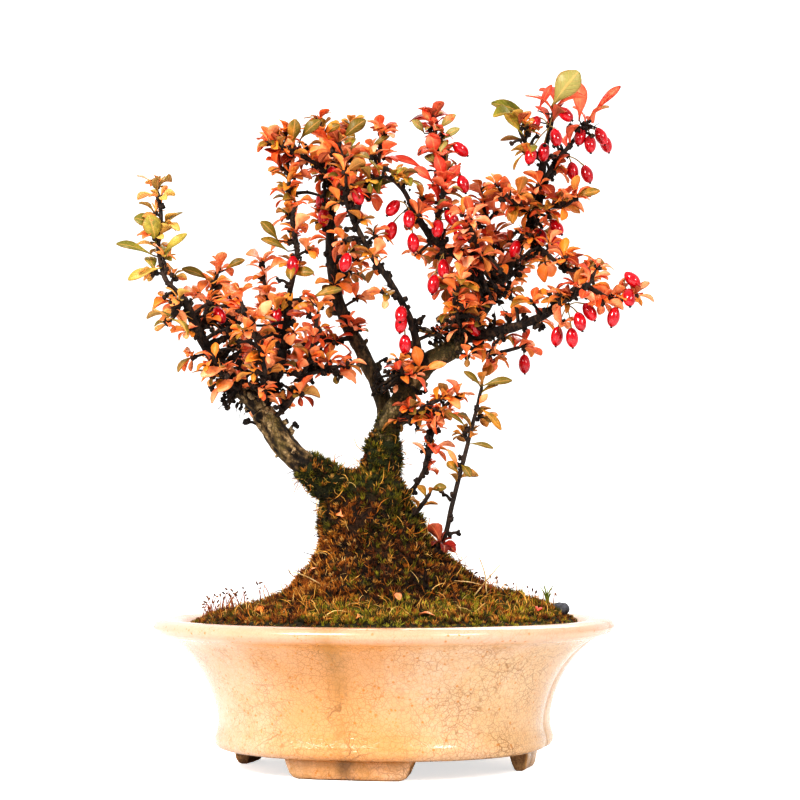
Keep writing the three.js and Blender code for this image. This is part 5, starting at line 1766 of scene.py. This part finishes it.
def bunch_piece(name, middles, nodes, kit):
    """Berries on thin stalks that meet at a knob beside the wood."""
    length = kit.settings.length / MM
    points = [Vector(middle) for middle in middles]
    mean = sum(points, Vector()) / len(points) + UP * length / 2
    root = nearest_surface(mean, kit.carriers)
    bm = bmesh.new()
    for number, point in enumerate(points):
        to_root = (root - point).normalized()
        axis = (to_root * 0.6 + UP * 0.8).normalized()
        scatter(bm, kit.berry, pointing(axis, point), draw(number + points[0].x))
        top = point + axis * (length / 2 - 0.3)
        bend = top.lerp(root, 0.5) + axis * 1.2
        pour(bm, tube(SmoothLine([root, bend, top]), STALK_RADII, 6, 1.2, material=2, tip=1))
    add_knobs(bm, kit.knob, root, 1.1, round(root.x * 3), 4, material=3)
    finish_piece(bm, f"bunch_{name}", kit.materials, nodes)


class BONSAI_OT_berries(Operator):
    """Models every bunch of berries on its stalks"""
    bl_idname = "bonsai.berries"
    bl_label = "Berries"

    def execute(self, context):
        settings = context.scene.bonsai_berries
        kit = SimpleNamespace(
            settings=settings, berry=berry_template(settings), knob=knob_template(),
            carriers=carrier_samples(),
            materials=berry_materials(settings) + [bpy.data.materials["twig_bark"]])
        for name, middles in BUNCHES.items():
            bunch_piece(name, middles, [f"berries_{name}"], kit)
        for name, middles in SINGLE_BERRIES.items():
            bunch_piece(f"single_{name}", middles, [], kit)
        return {"FINISHED"}


# Litter on the moss
def stone_material():
    """Dark rough stone."""
    return mottled_material("pebble_stone", 0.6, srgb(92, 92, 98), srgb(30, 30, 34), 0.003, 0.0004, 0.0004)


def meet_moss(origin, way):
    """Where a straight line meets the moss, and the way the moss faces there."""
    place, normal, _, _ = ground["tree"].ray_cast(Vector(origin), Vector(way))
    if place is None:
        raise RuntimeError(f"no moss is met from {origin}")
    return place, normal


def on_front(x, z):
    return meet_moss((x, IN_FRONT, z), (0, 1, 0))


def from_above(x, y):
    return meet_moss((x, y, ABOVE), (0, 0, -1))


def plain_stalk_material(name, light, dark):
    """A thin dry or fresh stalk in two mottled colours."""
    return mottled_material(name, 0.6, light, dark, 0.004, 0.0007, 0.0002)


def spore_stalks():
    """Thin red stalks that rise from the moss in patches, each with a nodding capsule."""
    bm = bmesh.new()
    chooser = random.Random(SPORE_SEED)
    for middle_x, middle_y, spread, count in SPORE_PATCHES:
        for _ in range(count):
            x, y = chooser.gauss(middle_x, spread / 2), chooser.gauss(middle_y, spread / 2)
            foot, _ = from_above(x, y)
            lean = Vector((chooser.uniform(-0.45, 0.45), chooser.uniform(-0.45, 0.45), 1))
            tip = foot + lean * chooser.uniform(*SPORE_HEIGHTS)
            bend = foot.lerp(tip, 0.55) - Vector((lean.x, lean.y, 0)) * 2
            pour(bm, tube(SmoothLine([foot - UP, bend, tip]), [0.34, 0.3, 0.27], 4, 3))
            nod = Vector((lean.x, lean.y, chooser.uniform(-0.2, 0.5))).normalized()
            matrix = pointing(nod, tip + nod) @ Matrix.Diagonal((0.5, 0.5, 1.3, 1))
            made = bmesh.ops.create_icosphere(bm, subdivisions=1, radius=1, matrix=matrix)
            set_material(made["verts"], 1)
    materials = [plain_stalk_material("spore_stalk", srgb(168, 92, 56), srgb(104, 40, 24)),
                 plain_stalk_material("spore_capsule", srgb(150, 92, 44), srgb(58, 30, 16))]
    finish_piece(bm, "spore_stalks", materials)


def dry_straws():
    """Pale straws that lie on and stand out of the moss."""
    bm = bmesh.new()
    for (x, z), (end_x, end_z) in STRAWS:
        foot, normal = on_front(x, z)
        tip = Vector((end_x, foot.y - 4, end_z))
        bend = foot.lerp(tip, 0.5) + normal * 1.5
        pour(bm, tube(SmoothLine([foot, bend, tip]), [0.4, 0.34, 0.2], 5, 2))
    straw = plain_stalk_material("straw", srgb(232, 204, 150), srgb(172, 132, 78))
    finish_piece(bm, "dry_straws", [straw])


def grass_sprig():
    """A small tuft of fresh grass at the right edge."""
    bm = bmesh.new()
    foot, _ = from_above(*GRASS_FOOT)
    for blade in range(GRASS_BLADES):
        turn = blade * GOLDEN_ANGLE
        out = Vector((math.cos(turn), math.sin(turn), 0))
        tall = mix(6, 12, draw(blade + 3))
        line = SmoothLine([foot, foot + out * 0.8 + UP * tall * 0.55, foot + out * tall * 0.4 + UP * tall])
        pour(bm, tube(line, [0.45, 0.4, 0.1], 4, 2))
    grass = plain_stalk_material("grass", srgb(140, 148, 44), srgb(64, 78, 20))
    finish_piece(bm, "grass_sprig", [grass])


def fallen_leaves(template):
    """Leaves that have dropped on the moss."""
    places = [(on_front(x, z), tone, length) for x, z, tone, length in FALLEN_ON_FRONT]
    places += [(from_above(x, y), tone, length) for x, y, tone, length in FALLEN_FROM_ABOVE]
    for number, ((foot, normal), tone, length) in enumerate(places):
        bm = leafy_bmesh()
        way = normal.orthogonal().normalized()
        way.rotate(Matrix.Rotation(draw(number + 60) * 6, 3, normal))
        matrix = leaf_matrix(foot + normal * 1.6 - way * length / 2, way, normal.cross(way), length)
        scatter(bm, template, matrix, mix(0.2, 0.8, draw(number + 80)))
        materials = [bpy.data.materials[f"leaf_{tone}_{side}"] for side in ("face", "underside")]
        finish_piece(bm, f"fallen_leaf_{number}", materials)


def foot_rosette(kit):
    """The low dark rosette at the suckers' foot."""
    bm = leafy_bmesh()
    start = Vector(FOOT_ROSETTE["start"])
    way = Vector(FOOT_ROSETTE["way"]).normalized()
    add_rosette(bm, kit, start, way, FOOT_ROSETTE["reach"], FOOT_HABIT, FOOT_SEED)
    materials = [bpy.data.materials[name] for name in ("leaf_red_face", "leaf_red_underside", "twig_bark")]
    finish_piece(bm, "dark_rosette_at_the_foot", materials)


def pebble():
    """The dark uneven pebble on the moss."""
    bm = bmesh.new()
    bmesh.ops.create_icosphere(bm, subdivisions=4, radius=1)
    for vert in bm.verts:
        vert.co *= 0.97 + 0.12 * noise.noise(vert.co * 1.6) + 0.03 * noise.noise(vert.co * 6)
    bmesh.ops.scale(bm, vec=PEBBLE["size"], verts=bm.verts)
    bmesh.ops.translate(bm, vec=PEBBLE["place"], verts=bm.verts)
    finish_piece(bm, "dark_pebble", [stone_material()], ["pebble"])


class BONSAI_OT_litter(Operator):
    """Models the pebble, the fallen leaves, the spore stalks, the straws and the grass on the moss"""
    bl_idname = "bonsai.litter"
    bl_label = "Pebble and litter"

    def execute(self, context):
        pebble()
        spore_stalks()
        dry_straws()
        grass_sprig()
        curled = leaf_template("leaf_fallen", 0.5, 0.1, 0.3)
        fallen_leaves(curled)
        settings = context.scene.bonsai_tree
        foot_rosette(SimpleNamespace(settings=settings, leaves=[curled], knob=knob_template()))
        return {"FINISHED"}


# Stage, in metres
FLOOR_RADIUS = 14
SOFTBOXES = {
    "key_light": {"place": (-0.75, -1.0, 0.95), "aim": (0, 0, 0.15), "size": (0.4, 0.4), "power": 17},
    "fill_light": {"place": (0.75, -1.0, 0.75), "aim": (0, 0, 0.1), "size": (0.34, 0.34), "power": 6},
    "back_light": {"place": (0.3, 1.0, 1.0), "aim": (0, 0, 0.2), "size": (0.8, 0.5), "power": 6},
}
CAMERA = {
    "place": (0.0075, -1.2, 0.125), "aim": (0.0075, 0, 0.1815), "clip": (0.05, 60),
    "lens": 108.1, "sensor": 36,
}


def camera_sees(tree):
    return add_node(tree, "ShaderNodeLightPath").outputs["Is Camera Ray"]


def floor_material(settings):
    """Pale floor with the faintest grain, lifted to the backdrop's white where the camera sees it."""
    material, tree, shader = new_material("studio_floor", 0.75, Emission_Color=(1, 1, 1, 1))
    grain = noise_of(tree, place_of(tree), 0.002, 2.0)
    colour = blend(tree, span(tree, grain, 0.3, 0.7, 0.0, 0.06), settings.floor, (0.8, 0.8, 0.8, 1))
    feed(tree, shader, {"Base Color": colour, "Emission Strength": times(tree, camera_sees(tree), 0.5)})
    return material


def white_room(strength):
    """A white backdrop, whose light on the object is softer than it looks and strongest from behind."""
    world = bpy.data.worlds.new("white_room")
    world.use_nodes = True
    tree = world.node_tree
    way = add_node(tree, "ShaderNodeTexCoord").outputs["Generated"]
    light = span(tree, axes_of(tree, way)["Y"], -0.9, 0.9, strength * 0.75, strength * 1.5)
    feed(tree, tree.nodes["Background"], {
        "Color": (1, 1, 1, 1), "Strength": largest(tree, camera_sees(tree), light)})
    return world


def look_at(holder, place, aim):
    """Puts a light or camera at a place and points it at another."""
    holder.location = place
    holder.rotation_euler = (Vector(aim) - Vector(place)).to_track_quat("-Z", "Y").to_euler()
    bpy.context.scene.collection.objects.link(holder)


def add_softbox(name, place, aim, size, power):
    light = bpy.data.lights.new(name, "AREA")
    light.shape = "RECTANGLE"
    light.size, light.size_y = size
    light.energy = power
    look_at(bpy.data.objects.new(name, light), place, aim)


def add_floor(settings):
    bm = bmesh.new()
    bmesh.ops.create_circle(bm, cap_ends=True, radius=FLOOR_RADIUS, segments=96)
    mesh = to_mesh(bm, "floor")
    mesh.materials.append(floor_material(settings))
    floor = bpy.data.objects.new("floor", mesh)
    bpy.context.scene.collection.objects.link(floor)
    floor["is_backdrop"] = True


def add_camera():
    lens = bpy.data.cameras.new("camera")
    lens.lens = CAMERA["lens"]
    lens.sensor_width = CAMERA["sensor"]
    lens.clip_start, lens.clip_end = CAMERA["clip"]
    camera = bpy.data.objects.new("camera", lens)
    look_at(camera, CAMERA["place"], CAMERA["aim"])
    return camera


class BONSAI_OT_stage(Operator):
    """Sets up the pale floor, the soft studio light and the camera"""
    bl_idname = "bonsai.stage"
    bl_label = "Stage"

    def execute(self, context):
        scene = context.scene
        settings = scene.bonsai_stage
        scene.view_settings.view_transform = "Standard"
        scene.view_settings.look = "High Contrast"
        add_floor(settings)
        scene.world = white_room(settings.sky)
        for name, softbox in SOFTBOXES.items():
            add_softbox(name, **softbox)
        scene.camera = add_camera()
        return {"FINISHED"}


class BONSAI_PT_panel(Panel):
    """Lists the steps that make the bonsai"""
    bl_idname = "BONSAI_PT_panel"
    bl_label = "Barberry bonsai"
    bl_space_type = "VIEW_3D"
    bl_region_type = "UI"
    bl_category = "Bonsai"

    def draw(self, context):
        for step in STEPS:
            self.layout.operator(step.bl_idname)


STEPS = [
    BONSAI_OT_stage, BONSAI_OT_pot, BONSAI_OT_soil, BONSAI_OT_moss, BONSAI_OT_wood, BONSAI_OT_leafy_stems,
    BONSAI_OT_berries, BONSAI_OT_litter,
]
SETTINGS = {
    "bonsai_pot": PotSettings, "bonsai_moss": MossSettings, "bonsai_tree": TreeSettings,
    "bonsai_berries": BerrySettings, "bonsai_stage": StageSettings,
}


def register():
    for settings in SETTINGS.values():
        bpy.utils.register_class(settings)
    for shown in STEPS + [BONSAI_PT_panel]:
        bpy.utils.register_class(shown)
    for name, settings in SETTINGS.items():
        setattr(bpy.types.Scene, name, PointerProperty(type=settings))


def unregister():
    for name in SETTINGS:
        delattr(bpy.types.Scene, name)
    for shown in [BONSAI_PT_panel] + STEPS[::-1] + list(SETTINGS.values())[::-1]:
        bpy.utils.unregister_class(shown)


def main():
    register()
    make_crack_group()
    make_mottle_group()
    for step in STEPS:
        area, name = step.bl_idname.split(".")
        getattr(getattr(bpy.ops, area), name)()
    boxes = {"cad": CAD_BOX, "visual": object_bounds()}
    {name: [list(corner) for corner in box] for name, box in boxes.items()}


if __name__ == "__main__":
    main()
